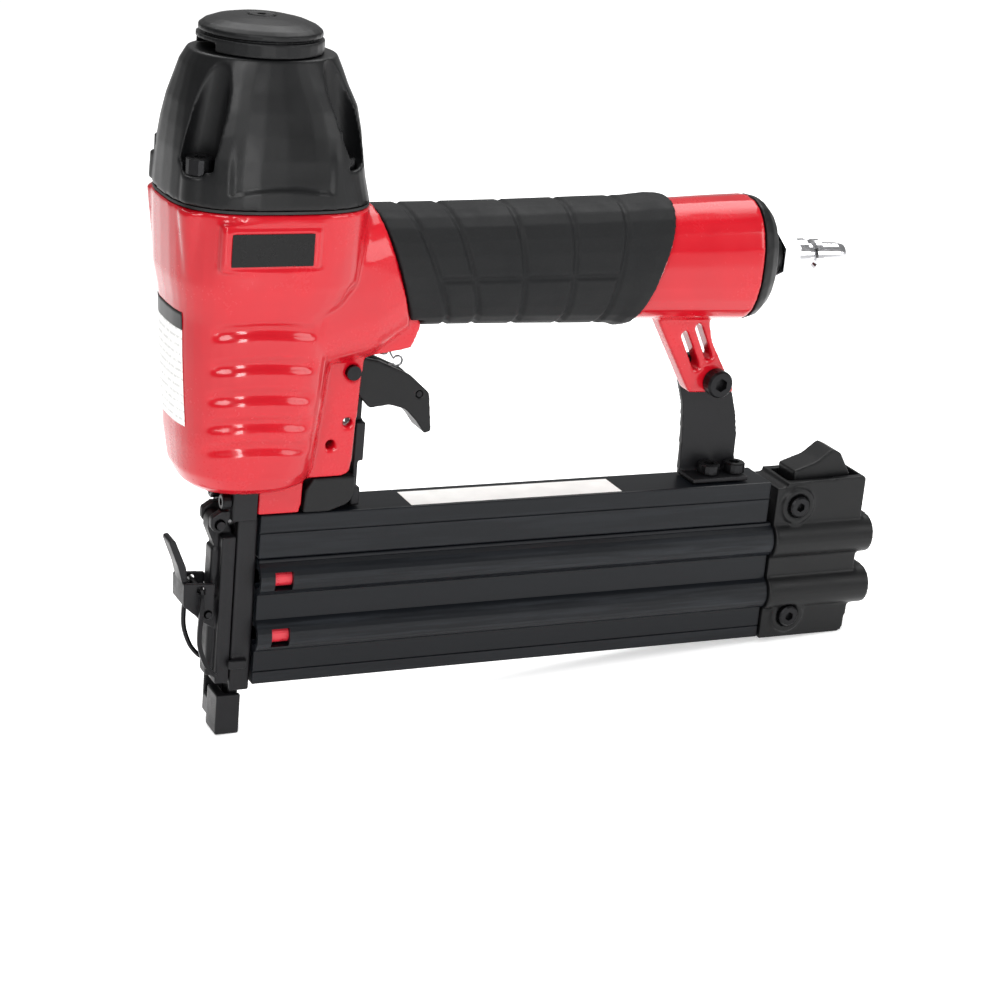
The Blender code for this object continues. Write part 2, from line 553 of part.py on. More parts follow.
# ---------------------------------------------------------------- trigger and valve
def trigger():
    half = TRIGGER_HALF_WIDTH
    blade = plate([(31.0, 122.0, 2.0), (31.5, 128.6, 2.4), (38.0, 128.8, 2.0), (45.0, 127.0, 6.0),
                   (56.0, 122.0, 5.0), (63.2, 115.6, 3.0), (64.8, 102.4, 1.0), (62.4, 101.8, 0.8),
                   (59.4, 106.0, 4.0), (55.2, 110.4, 4.0), (49.5, 112.2, 5.0), (42.4, 111.4, 1.5),
                   (38.8, 115.6, 1.0)], -half, half)
    arm_slot = block((36.4, 43.0), (-2.9, 2.9), (108, 131))
    lever_slot = plate([(36.4, 118.9, 0), (44.0, 118.9, 0), (52.0, 117.4, 0), (56.6, 112.2, 0), (62.6, 112.2, 0),
                        (62.6, 124.0, 0), (52.0, 131.0, 0), (36.4, 131.0, 0)], -2.9, 2.9)
    pin_way = cylinder((TRIGGER_PIN[0], -9, TRIGGER_PIN[1]), (TRIGGER_PIN[0], 9, TRIGGER_PIN[1]), 2.3, sides=20)
    trip_way = cylinder((TRIP_PIN[0], -9, TRIP_PIN[1]), (TRIP_PIN[0], 9, TRIP_PIN[1]), 1.3, sides=16)
    return cut(blade, arm_slot, lever_slot, pin_way, trip_way)


def trip_lever():
    lever = plate([(38.2, 124.2, 0.6), (38.2, 122.4, 0.4), (50.0, 119.4, 3.0), (57.4, 113.3, 1.6),
                   (61.8, 113.4, 1.6), (61.4, 117.0, 1.8), (54.0, 122.4, 3.0), (47.0, 125.6, 2.0)], -2.5, 2.5)
    return cut(lever, cylinder((TRIP_PIN[0], -9, TRIP_PIN[1]), (TRIP_PIN[0], 9, TRIP_PIN[1]), 1.3, sides=16))


def add_trigger(tool):
    x, z = TRIGGER_PIN
    pivot = tool.empty("trigger_axis", (x, 0, z), tool.root)
    tool.add("trigger", trigger(), SATIN_BLACK, pivot)
    shaft = cylinder((x, -WEB_HALF_WIDTH - 0.6, z), (x, WEB_HALF_WIDTH + 0.6, z), 2.0, sides=20)
    head = cylinder((x, -WEB_HALF_WIDTH - 1.4, z), (x, -WEB_HALF_WIDTH - GAP, z), 2.4, sides=20)
    tool.add("trigger_pin", union(shaft, head), DARK_STEEL)
    x, z = TRIP_PIN
    trip = tool.empty("trip_lever_axis", (x, 0, z), pivot)
    tool.add("trip_lever", trip_lever(), DARK_STEEL, trip)
    tool.add("trip_lever_pin", cylinder((x, -5.2, z), (x, 5.2, z), 1.0, sides=16), DARK_STEEL, pivot)
    valve = turned([(6.0, 150.0), (6.0, 131.0), (1.9, 131.0), (1.9, 138.0), (4.6, 138.0), (4.6, 150.0)],
                   (VALVE_X, 0, 0), ring=True, sides=28)
    tool.add("trigger_valve_body", valve, ALUMINIUM)
    stem_axis = tool.empty("valve_stem_axis", (VALVE_X, 0, STEM_LOW), tool.root)
    stem = turned([(0.0, 142.5), (3.6, 142.5), (3.6, 139.6), (1.6, 139.6), (1.6, STEM_LOW + 0.4), (1.2, STEM_LOW),
                   (0.0, STEM_LOW)], (VALVE_X, 0, 0), sides=20)
    tool.add("valve_stem", stem, BRIGHT_STEEL, stem_axis)
    tool.add("valve_spring", wire(coil((VALVE_X, 0, 143.2), 3.2, 5.6, 4, per_turn=8), 0.35, 1), BRIGHT_STEEL)
    x, z = SPRING_EYE
    loop = [(x + SPRING_EYE_RADIUS * math.cos(a), SPRING_Y, z + SPRING_EYE_RADIUS * math.sin(a)) for a in
            (math.radians(150 - 36 * k) for k in range(9))]
    spring = [(x - 3.0, SPRING_Y, 135.0), (x - 2.6, SPRING_Y, z + 2.6), *loop, (x - 3.2, SPRING_Y, z - 1.0)]
    tool.add("trigger_spring", wire(spring, 0.35, 1), BRIGHT_STEEL)


# ---------------------------------------------------------------- nose
def nose_body():
    """The rear half of the driver guide, with its block that bolts under the casting."""
    half = NOSE_HALF_WIDTH
    guide = block((NOSE_FRONT, NOSE_BACK), (-half, half), (16.4, 77.0), 0.4)
    head = block((-3.4, 4.9), (-9.4, 9.4), (76.5, 87.6), 0.4)
    tongue = block((0.8, 4.0), (-3.0, 3.0), (9.0, 20.0))
    ears = [block((-2.0, 4.2), (min(side * 7.5, side * 9.6), max(side * 7.5, side * 9.6)), (25.2, 28.2), 0.3)
            for side in (-1, 1)]
    ears.append(block((0.2, 3.8), (-9.0, 9.0), (25.6, 27.8)))
    knuckles = [plate([(-3.0, 79.2, 0), (-6.4, 79.2, 0), (-9.4, 77.2, 1.5), (-9.4, 72.2, 2.4), (-5.0, 72.2, 1.8),
                       (-3.2, 77.4, 0)], min(side * 3.2, side * 6.4), max(side * 3.2, side * 6.4)) for side in (-1, 1)]
    body = union(guide, head, tongue, *ears, *knuckles)
    channel = block((-1.0, 0.65), (-3.3, 3.3), (5.0, 86.0))
    blade_way = block((-0.9, 0.65), (-3.3, 3.3), (76.0, 90.0))
    tip_room = block((-1.2, 5.0), (-5.6, 5.6), (10.0, 19.4))
    tongue_again = block((0.8, 4.0), (-3.0, 3.0), (9.0, 20.0))
    nail_window = block((2.0, 8.0), (-1.2, 1.2), (22.0, 62.0))
    pin_way = cylinder((DOOR_PIN[0], -9, DOOR_PIN[1]), (DOOR_PIN[0], 9, DOOR_PIN[1]), 1.7, sides=16)
    screw_ways = [cylinder((-4.0, y, NOSE_SCREW_Z), (6.0, y, NOSE_SCREW_Z), 1.9, sides=16)
                  for y in (-NOSE_SCREW_Y, NOSE_SCREW_Y)]
    knuckle_room = cylinder((DOOR_PIN[0], -3.3, DOOR_PIN[1]), (DOOR_PIN[0], 3.3, DOOR_PIN[1]), 4.3)
    body = cut(body, channel, blade_way, tip_room, pin_way, knuckle_room)
    body = union(body, tongue_again)
    return cut(body, nail_window, *screw_ways)


def nose_door():
    """The front plate that swings open to clear a jam, with its stiffening rib and latch lugs."""
    panel = block((DOOR_FRONT, DOOR_BACK), (-NOSE_HALF_WIDTH, NOSE_HALF_WIDTH), (19.4, 70.6), 0.5)
    rib = block((DOOR_FRONT - 2.2, DOOR_FRONT + 1.0), (-3.4, 3.4), (21.0, 66.0), 0.8)
    knuckle = plate([(-1.2, 69.0, 0), (-1.2, 71.4, 1.2), (-3.8, 77.2, 2.4), (-9.0, 77.4, 2.4), (-9.2, 72.2, 2.4),
                     (DOOR_FRONT - 1.0, 66.0, 0), (-1.2, 66.0, 0)], -2.9, 2.9)
    lugs = plate([(DOOR_FRONT + 1.0, 37.6, 0), (DOOR_FRONT + 1.0, 50.4, 0), (-8.6, 47.4, 1.5), (-11.6, 45.4, 1.6),
                  (-11.2, 41.2, 1.6)], -4.2, 4.2)
    door = union(panel, rib, knuckle, lugs)
    pin_way = cylinder((DOOR_PIN[0], -9, DOOR_PIN[1]), (DOOR_PIN[0], 9, DOOR_PIN[1]), 1.7, sides=16)
    latch_way = cylinder((LATCH_PIN[0], -9, LATCH_PIN[1]), (LATCH_PIN[0], 9, LATCH_PIN[1]), 1.3, sides=16)
    return cut(door, pin_way, latch_way)


def latch_lever():
    """A channel-shaped lever that straddles the door's lugs, with a long bent finger."""
    sides = plate([(-7.0, 42.0, 1.0), (-6.8, 54.4, 0.6), (-17.4, 55.2, 0.6), (-17.2, 47.4, 1.0), (-10.4, 41.6, 2.0)],
                  -6.2, 6.2)
    room = block((-16.0, 0.0), (-4.8, 4.8), (36.0, 60.0))
    finger = plate([(-15.4, 53.4, 0), (-17.2, 54.2, 0), (-18.8, 60.0, 2.0), (-22.4, 69.0, 0.9), (-20.4, 69.8, 0.9),
                    (-16.2, 60.0, 2.0)], -4.0, 4.0)
    lever = union(cut(sides, room), finger)
    ways = [cylinder((x, -9, z), (x, 9, z), radius, sides=16) for (x, z), radius in ((LATCH_PIN, 1.3), (BAIL_PIN, 1.3))]
    return cut(lever, *ways)


def latch_bail():
    """A wire through the lever whose two legs run down beside the nose and under its ears."""
    x, z = BAIL_PIN
    leg = [(x, -8.2, z - 0.8), (-11.8, -8.6, 47.0), (-12.2, -8.6, 40.0), (-11.9, -8.6, 34.0), (-9.8, -8.6, 28.0),
           (-7.4, -8.6, 24.6), (-5.6, -8.6, 23.0)]
    near = smooth_path([(x, -6.9, z), *leg], 22)
    far = [Vector((p.x, -p.y, p.z)) for p in reversed(near)]
    return wire(far + near, 0.85, 1)


def add_nose(tool):
    tool.add("nose_body", nose_body(), DARK_STEEL)
    for side, name in ((-1, "nose_screw_near"), (1, "nose_screw_far")):
        y = side * NOSE_SCREW_Y
        screw = turned([(0.0, -6.5), (2.2, -6.5), (2.6, -6.1), (2.6, -3.7), (1.6, -3.7), (1.6, 14.0), (0.0, 14.0)],
                       (0, y, NOSE_SCREW_Z), axis="X", sides=16)
        socket = cylinder((-5.0, y, NOSE_SCREW_Z), (-8.0, y, NOSE_SCREW_Z), 1.3, sides=6)
        tool.add(name, cut(screw, socket), DARK_STEEL)
    x, z = DOOR_PIN
    hinge = tool.empty("door_axis", (x, 0, z), tool.root)
    tool.add("door_hinge_pin", cylinder((x, -7.4, z), (x, 7.4, z), 1.4, sides=16), DARK_STEEL)
    tool.add("nose_door", nose_door(), DARK_STEEL, hinge)
    latch = tool.empty("latch_axis", (LATCH_PIN[0], 0, LATCH_PIN[1]), hinge)
    tool.add("latch_lever", latch_lever(), DARK_STEEL, latch)
    tool.add("latch_pin", cylinder((LATCH_PIN[0], -6.8, LATCH_PIN[1]), (LATCH_PIN[0], 6.8, LATCH_PIN[1]), 1.0,
                                   sides=16), DARK_STEEL, hinge)
    bail = tool.empty("bail_axis", (BAIL_PIN[0], 0, BAIL_PIN[1]), latch)
    tool.add("latch_bail", latch_bail(), BRIGHT_STEEL, bail)


def add_safety(tool):
    """The contact tip and the arm that carries its travel up to the trigger."""
    axis = tool.empty("safety_axis", (0, 0, 0), tool.root)
    tip = block((-3.9, 4.3), (-TIP_HALF_WIDTH, TIP_HALF_WIDTH), (0.0, 14.2), 0.5)
    tip = cut(tip, block((-0.8, 0.8), (-3.4, 3.4), (-1, 15)), block((0.4, 5.0), (-3.6, 3.6), (4.6, 15)))
    tool.add("contact_tip", tip, DARK_STEEL, axis)
    outer = (10.8, 12.4)
    upright = block((-3.0, 3.4), outer, (2.0, 81.0))
    foot = block((-3.0, 3.4), (TIP_HALF_WIDTH + GAP, 11.5), (2.0, 8.6))
    run = block((-3.0, 41.2), outer, (74.6, 81.0))
    cross = block((38.2, 41.2), (-5.4, 12.4), (78.2, 84.4))
    rise = block((38.2, 39.8), (-5.4, 5.4), (80.0, 95.0))
    palm = block((38.2, 41.6), (-5.4, 5.4), (93.6, 106.6))
    finger = block((38.6, 41.2), (-2.4, 2.4), (100.0, 118.6))
    tab = block((24.0, 39.0), (-2.0, 2.0), (79.2, 81.2))
    tool.add("safety_arm", union(upright, foot, run, cross, rise, palm, finger, tab), DARK_STEEL, axis)
    cover = plate([(20.4, RAIL_TOP + GAP, 0), (29.0, RAIL_TOP + GAP, 6.0), (37.6, 81.0, 5.0), (37.8, 90.0, 0.4),
                   (23.4, 89.8, 0), (20.9, 86.0, 0)], -9.4, 9.4)
    cover = cut(cover, cylinder((29.0, 0, 81.0), (29.0, 0, 91.0), 3.4), block((22.0, 40.0), (-2.5, 2.5), (77, 86.4)))
    tool.add("safety_cover", cover, SATIN_BLACK)
    tool.add("safety_spring", wire(coil((29.0, 0, 81.9), 2.4, 7.4, 4, per_turn=8), 0.4, 1), BRIGHT_STEEL)


# ---------------------------------------------------------------- magazine
def add_rail(tool):
    top = block((MAG_FRONT, MAG_BACK - 2), (-MAG_HALF_WIDTH, MAG_HALF_WIDTH), (RAIL_LOW, RAIL_TOP), 0.5)
    web = block((MAG_FRONT + 8, MAG_BACK - 2), (-1.5, 1.5), (24.6, RAIL_LOW + 2))
    grooves = [block((MAG_FRONT - 1, MAG_BACK), (side * 8.5 - 0.5, side * 8.5 + 0.5), (71.4, 72.1)) for side in (-1, 1)]
    holes = [cylinder((x, 0, 70.0), (x, 0, RAIL_TOP + 1), 2.3, sides=16) for x in HANGER_SCREWS]
    tool.add("magazine_rail", cut(union(top, web), *grooves, *holes), ANODISED)


def stadium(level, reach, radius, low_x, high_x):
    """A level bar along X with round sides that reach out to y = reach."""
    curve = 0.97 * radius
    corners = [(-reach, level - radius, curve), (reach, level - radius, curve), (reach, level + radius, curve),
               (-reach, level + radius, curve)]
    return plate(corners, low_x, high_x, plane="YZ", steps=6)


def magazine_cover():
    """The sliding channel: nail track inside, two bulges outside for the pusher springs."""
    front, back = MAG_FRONT + 0.2, MAG_BACK
    cover = block((front, back), (-MAG_HALF_WIDTH, MAG_HALF_WIDTH), (MAG_LOW, RAIL_LOW - GAP), 0.4)
    bulges = [stadium(level, BULGE_REACH, BULGE_RADIUS, front, back) for level in BULGE_LEVELS]
    cover = union(cover, *bulges)
    track = block((front - 1, back + 1), (-5.2, 5.2), (20.6, RAIL_LOW + 1))
    bores = [cylinder((front - 1, SPRING_BORE_Y, level), (back + 1, SPRING_BORE_Y, level), SPRING_BORE, sides=20)
             for level in BULGE_LEVELS]
    windows = [block((11.6, 17.8), (-13.0, -7.0), (level - 3.4, level + 3.0)) for level in BULGE_LEVELS]
    groove = block((front - 1, back + 1), (-9.0, -8.0), (23.0, 23.6))
    return cut(cover, track, *bores, *windows, groove)


def magazine_end_cap():
    front, back = MAG_BACK + GAP, END_BACK
    core = plate([(front, MAG_LOW - 0.2, 0), (233.0, MAG_LOW - 0.2, 1.5), (back, 34.0, 0), (back, 78.4, 1.5),
                  (202.4, 77.4, 0), (202.4, 75.8, 0), (front, 75.6, 0)], -9.6, 9.6)
    bosses = [stadium(level, BULGE_REACH + 1.4, BULGE_RADIUS + 0.9, front, 238.8 + 1.2 * k)
              for k, level in enumerate(BULGE_LEVELS)]
    seats = [cylinder((x, -10.9, z), (x, 9.0, z), 6.6, sides=20) for x, z in (UPPER_SCREW, LOWER_SCREW)]
    cap = union(core, *bosses, *seats)
    thumb_room = block((204.0, 233.4), (-6.6, 6.6), (64.0, 80.0))
    recesses = [cylinder((x, -12.0, z), (x, -9.6, z), 4.3, sides=20) for x, z in (UPPER_SCREW, LOWER_SCREW)]
    screw_ways = [cylinder((x, -12.0, z), (x, 4.0, z), 2.3, sides=16) for x, z in (UPPER_SCREW, LOWER_SCREW)]
    rod_seats = [cylinder((front - 1, SPRING_BORE_Y, level), (front + 8, SPRING_BORE_Y, level), 1.5, sides=16)
                 for level in BULGE_LEVELS]
    thumb_way = cylinder((THUMB_PIN[0], -8.6, THUMB_PIN[1]), (THUMB_PIN[0], 11.0, THUMB_PIN[1]), 1.8, sides=16)
    return cut(cap, thumb_room, *recesses, *screw_ways, *rod_seats, thumb_way)


def thumb_latch():
    body = plate([(206.4, 80.4, 1.0), (215.6, 83.4, 8.0), (221.2, 87.8, 1.4), (225.0, 86.2, 1.6), (229.6, 78.4, 1.0),
                  (229.6, 70.0, 1.5), (222.0, 68.4, 1.0), (206.8, 75.2, 0.6)], -5.8, 5.8)
    pin_way = cylinder((THUMB_PIN[0], -8, THUMB_PIN[1]), (THUMB_PIN[0], 8, THUMB_PIN[1]), 1.8, sides=16)
    spring_pocket = cylinder((213.5, 0, 66.0), (213.5, 0, 76.5), 2.6, sides=16)
    return cut(body, pin_way, spring_pocket)


def add_magazine(tool):
    axis = tool.empty("magazine_axis", (MAG_BACK, 0, MAG_LOW), tool.root)
    tool.add("magazine_cover", magazine_cover(), ANODISED, axis)
    tool.add("magazine_end_cap", magazine_end_cap(), SATIN_BLACK, axis)
    tool.add("end_cap_screw_upper", side_screw(*UPPER_SCREW, -9.65, shank=(2.0, 2.4)), DARK_STEEL, axis)
    tool.add("end_cap_screw_lower", side_screw(*LOWER_SCREW, -9.65, shank=(2.0, 13.2)), DARK_STEEL, axis)
    x, z = THUMB_PIN
    thumb = tool.empty("magazine_latch_axis", (x, 0, z), axis)
    tool.add("magazine_latch", thumb_latch(), SATIN_BLACK, thumb)
    tool.add("magazine_latch_pin", cylinder((x, -8.2, z), (x, 9.2, z), 1.5, sides=16), DARK_STEEL, axis)
    tool.add("magazine_latch_spring", wire(coil((213.5, 0, 64.9), 1.9, 10.4, 4, per_turn=8), 0.35, 1), BRIGHT_STEEL, axis)
    slide = tool.empty("pusher_axis", (14.0, 0, 40.0), axis)
    for level, name in zip(BULGE_LEVELS, ("upper", "lower")):
        rod = cylinder((8.0, SPRING_BORE_Y, level), (MAG_BACK + 7, SPRING_BORE_Y, level), 1.1, sides=12)
        tool.add(f"guide_rod_{name}", rod, BRIGHT_STEEL, axis)
        follower = cut(cylinder((10.8, SPRING_BORE_Y, level), (18.8, SPRING_BORE_Y, level), 2.9, sides=20),
                       cylinder((9.0, SPRING_BORE_Y, level), (20.0, SPRING_BORE_Y, level), 1.4, sides=12))
        tool.add(f"indicator_{name}", follower, SIGNAL_RED, slide)
        turns = coil((19.6, SPRING_BORE_Y, level), 2.3, MAG_BACK - 20.4, 11, axis="X", per_turn=7)
        tool.add(f"pusher_spring_{name}", wire(turns, 0.35, 0), BRIGHT_STEEL, axis)
    pusher = plate([(-4.9, 21.2, 0), (4.9, 21.2, 0), (4.9, 60.0, 0), (2.1, 60.0, 0), (2.1, 24.0, 0), (-2.1, 24.0, 0),
                    (-2.1, 60.0, 0), (-3.9, 60.0, 0), (-3.9, 24.0, 0), (-4.9, 24.0, 0)], 10.8, 30.0, plane="YZ")
    tool.add("pusher", pusher, DARK_STEEL, slide)


def add_hanger(tool):
    """The bracket that ties the magazine's rear end to the lug under the handle."""
    x, z = LUG_BOLT
    low, high = RAIL_TOP + GAP, RAIL_TOP + GAP + FLANGE
    side = plate([(158.2, 120.6, 0.8), (161.0, 113.1, 8.0), (163.8, 103.9, 12.0), (164.8, 93.2, 0), (165.4, low + 0.8, 0),
                  (187.1, low + 0.8, 0), (186.7, 92.1, 8.0), (185.3, 99.9, 10.0), (182.9, 107.6, 10.0),
                  (177.0, 118.4, 5.0), (168.0, 123.6, 5.0)], 4.0, 6.4)
    flange = block((165.4, 187.6), (-6.0, 6.4), (low, high))
    bracket = cut(union(side, flange), cylinder((x, 2, z), (x, 9, z), 3.0, sides=20),
                  *[cylinder((a, 0, 76), (a, 0, 82), 2.3, sides=16) for a in HANGER_SCREWS])
    tool.add("hanger_bracket", bracket, DARK_STEEL)
    for place, name in zip(HANGER_SCREWS, ("front", "rear")):
        screw = socket_screw(place, 0, high + GAP, (3.9, 3.4), (2.0, 8.5))
        tool.add(f"hanger_screw_{name}", screw, DARK_STEEL)
    bolt = turned([(0.0, 4.6), (4.2, 4.6), (4.8, 3.8), (4.8, 0.0), (2.7, 0.0), (2.7, -14.4), (0.0, -14.4)],
                  (x, -3.9, z), axis="-Y", sides=24)
    tool.add("lug_bolt", cut(bolt, cylinder((x, -6.2, z), (x, -9.0, z), 2.4, sides=6)), DARK_STEEL)
    nut = cut(cylinder((x, 6.7, z), (x, 10.2, z), 5.0, sides=6), cylinder((x, 6.0, z), (x, 11.0, z), 2.75, sides=20))
    tool.add("lug_nut", nut, DARK_STEEL)


def add_plates(tool):
    name_plate = block((-14.9, 11.2), (-27.9, -27.3), (165.4, 175.4))
    tool.add("name_plate", name_plate, SATIN_BLACK)


def main():
    clear_scene()
    tool = Tool()
    add_head(tool)
    add_piston(tool)
    add_handle(tool)
    add_trigger(tool)
    add_nose(tool)
    add_safety(tool)
    add_rail(tool)
    add_magazine(tool)
    add_hanger(tool)
    add_plates(tool)
    tool.root.location.x = ROOT_SHIFT * MM


main()
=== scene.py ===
"""Looks of a compact pneumatic nail gun, laid out as an add-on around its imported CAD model.

Lengths are metres. Where a piece is shaped point by point, places are millimetres measured from the
driver's axis along X, from the plane of symmetry along Y and from the contact tip's lower end along Z.
"""

import json
import math

import bmesh
import bpy
from bpy.props import FloatProperty, FloatVectorProperty, PointerProperty
from bpy.types import Operator, Panel, PropertyGroup
from mathutils import Matrix, Vector
from mathutils.bvhtree import BVHTree


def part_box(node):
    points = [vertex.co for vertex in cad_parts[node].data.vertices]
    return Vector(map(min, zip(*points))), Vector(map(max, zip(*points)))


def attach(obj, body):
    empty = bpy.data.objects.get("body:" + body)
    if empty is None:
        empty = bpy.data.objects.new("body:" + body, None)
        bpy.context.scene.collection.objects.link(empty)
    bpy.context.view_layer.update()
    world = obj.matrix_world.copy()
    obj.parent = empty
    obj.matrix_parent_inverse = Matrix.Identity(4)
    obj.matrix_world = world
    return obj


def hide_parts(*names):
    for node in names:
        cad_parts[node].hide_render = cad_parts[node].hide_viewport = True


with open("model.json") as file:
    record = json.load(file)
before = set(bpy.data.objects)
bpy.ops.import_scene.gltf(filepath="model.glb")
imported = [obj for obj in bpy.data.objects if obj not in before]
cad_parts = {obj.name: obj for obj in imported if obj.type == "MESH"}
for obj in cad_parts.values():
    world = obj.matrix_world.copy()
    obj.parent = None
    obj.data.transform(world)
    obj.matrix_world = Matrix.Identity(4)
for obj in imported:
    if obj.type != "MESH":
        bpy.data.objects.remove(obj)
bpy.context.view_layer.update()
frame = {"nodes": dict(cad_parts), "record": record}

bl_info = {
    "name": "Nail gun looks",
    "version": (1, 0, 0),
    "blender": (4, 5, 0),
    "location": "View3D > Sidebar > Nail gun",
    "description": "Builds the finished surfaces of a pneumatic nail gun around its CAD solids",
    "category": "Object",
}

MM = 0.001
SLEEVE_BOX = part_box("cylinder_sleeve")
AXIS_X = (SLEEVE_BOX[0][0] + SLEEVE_BOX[1][0]) / 2
RAIL_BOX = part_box("magazine_rail")
BODY_OF = {node: body for body, nodes in frame["record"]["behaviour"]["bodies"].items() for node in nodes}
HANDLE_Z = 158.0                  # centre line of the handle
SCREW_X, SCREW_Y = 22.5, 16.0     # the four cap screws


# ---------------------------------------------------------------- settings
def size(name, description, default, low, high):
    return FloatProperty(name=name, description=description, default=default, min=low, max=high,
                         unit="LENGTH", precision=4)


def colour(name, description, default):
    return FloatVectorProperty(name=name, description=description, default=default, subtype="COLOR",
                               size=3, min=0.0, max=1.0)


class NailGunSizes(PropertyGroup):
    rib_depth: size("Rib depth", "Depth of the grooves between the casting's ribs", 0.0014, 0.0, 0.003)
    tread_depth: size("Tread depth", "Depth of the grooves in the grip", 0.0009, 0.0, 0.002)
    crease_depth: size("Crease depth", "Step above the base band of the cap", 0.0008, 0.0, 0.002)
    label_thickness: size("Label thickness", "Thickness of the stickers", 0.00012, 0.00005, 0.0005)


class NailGunColours(PropertyGroup):
    paint: colour("Paint", "Enamel on the casting", (0.46, 0.0028, 0.0105))
    black: colour("Black", "Moulded and powder-coated black pieces", (0.0042, 0.0044, 0.0048))
    rubber: colour("Rubber", "Grip sleeve", (0.0062, 0.0066, 0.0072))
    anodised: colour("Anodised", "Magazine rail and cover", (0.0035, 0.0045, 0.0062))
    steel: colour("Black steel", "Blackened nose, arm and bracket", (0.009, 0.009, 0.0102))
    chrome: colour("Chrome", "Air plug and springs", (0.68, 0.68, 0.7))
    indicator: colour("Indicator", "Red followers in the magazine's windows", (0.55, 0.02, 0.035))
    label: colour("Label", "White sticker stock", (0.8, 0.8, 0.78))


# ---------------------------------------------------------------- shader groups
def new_group(name, inputs, outputs):
    group = bpy.data.node_groups.new(name, "ShaderNodeTree")
    for label, kind, default in inputs:
        socket = group.interface.new_socket(label, in_out="INPUT", socket_type=kind)
        socket.default_value = default
    for label, kind in outputs:
        group.interface.new_socket(label, in_out="OUTPUT", socket_type=kind)
    return group, group.nodes.new("NodeGroupInput"), group.nodes.new("NodeGroupOutput")


def math_node(tree, operation, first, second=None, clamp=False):
    node = tree.nodes.new("ShaderNodeMath")
    node.operation = operation
    node.use_clamp = clamp
    for socket, value in zip(node.inputs, (first, second)):
        if value is None:
            continue
        if isinstance(value, (int, float)):
            socket.default_value = value
        else:
            tree.links.new(value, socket)
    return node.outputs[0]


def noise_node(tree, vector, scale, detail=3.0, roughness=0.55):
    node = tree.nodes.new("ShaderNodeTexNoise")
    node.inputs["Detail"].default_value = detail
    node.inputs["Roughness"].default_value = roughness
    tree.links.new(vector, node.inputs["Vector"])
    if isinstance(scale, (int, float)):
        node.inputs["Scale"].default_value = scale
    else:
        tree.links.new(scale, node.inputs["Scale"])
    return node.outputs["Fac"]


def remap(tree, value, low, high, to_low=0.0, to_high=1.0):
    node = tree.nodes.new("ShaderNodeMapRange")
    node.interpolation_type = "SMOOTHSTEP"
    for label, number in (("From Min", low), ("From Max", high), ("To Min", to_low), ("To Max", to_high)):
        if isinstance(number, (int, float)):
            node.inputs[label].default_value = number
        else:
            tree.links.new(number, node.inputs[label])
    tree.links.new(value, node.inputs["Value"])
    return node.outputs["Result"]


def surface_group():
    """Patchy roughness and a fine grain height, both from Object coordinates."""
    group, entry, leave = new_group(
        "Surface variation",
        [("Vector", "NodeSocketVector", (0, 0, 0)), ("Patch Scale", "NodeSocketFloat", 60.0),
         ("Grain Scale", "NodeSocketFloat", 2500.0), ("Smoothest", "NodeSocketFloat", 0.3),
         ("Roughest", "NodeSocketFloat", 0.5)],
        [("Patch", "NodeSocketFloat"), ("Roughness", "NodeSocketFloat"), ("Grain", "NodeSocketFloat")])
    patch = noise_node(group, entry.outputs["Vector"], entry.outputs["Patch Scale"], 4.0, 0.6)
    grain = noise_node(group, entry.outputs["Vector"], entry.outputs["Grain Scale"], 2.0, 0.5)
    mixed = math_node(group, "ADD", math_node(group, "MULTIPLY", patch, 0.75),
                      math_node(group, "MULTIPLY", grain, 0.25))
    rough = remap(group, mixed, 0.36, 0.64, entry.outputs["Smoothest"], entry.outputs["Roughest"])
    group.links.new(patch, leave.inputs["Patch"])
    group.links.new(rough, leave.inputs["Roughness"])
    group.links.new(grain, leave.inputs["Grain"])
    return group


def wear_group():
    """A mask of rubbed edges, broken up by noise, from the surface's own convexity."""
    group, entry, leave = new_group(
        "Edge wear",
        [("Vector", "NodeSocketVector", (0, 0, 0)), ("Start", "NodeSocketFloat", 0.53),
         ("Full", "NodeSocketFloat", 0.6), ("Amount", "NodeSocketFloat", 0.5)],
        [("Mask", "NodeSocketFloat")])
    geometry = group.nodes.new("ShaderNodeNewGeometry")
    convex = remap(group, geometry.outputs["Pointiness"], entry.outputs["Start"], entry.outputs["Full"])
    broken = remap(group, noise_node(group, entry.outputs["Vector"], 420.0, 5.0, 0.65), 0.42, 0.62)
    mask = math_node(group, "MULTIPLY", math_node(group, "MULTIPLY", convex, broken), entry.outputs["Amount"], True)
    group.links.new(mask, leave.inputs["Mask"])
    return group


def place_group(tree, group, **values):
    node = tree.nodes.new("ShaderNodeGroup")
    node.node_tree = group
    for label, value in values.items():
        node.inputs[label.replace("_", " ")].default_value = value
    return node


MIX_FIRST, MIX_SECOND, MIX_RESULT = 6, 7, 2     # a Mix node's colour sockets


def mix_colour(tree, factor, first, second):
    """Blend two colours, each a tuple or a socket."""
    node = tree.nodes.new("ShaderNodeMix")
    node.data_type = "RGBA"
    tree.links.new(factor, node.inputs["Factor"])
    for index, value in ((MIX_FIRST, first), (MIX_SECOND, second)):
        if isinstance(value, (tuple, list)):
            node.inputs[index].default_value = (*value, 1.0)
        else:
            tree.links.new(value, node.inputs[index])
    return node.outputs[MIX_RESULT]


GROUPS = {}
FINISHES = {}


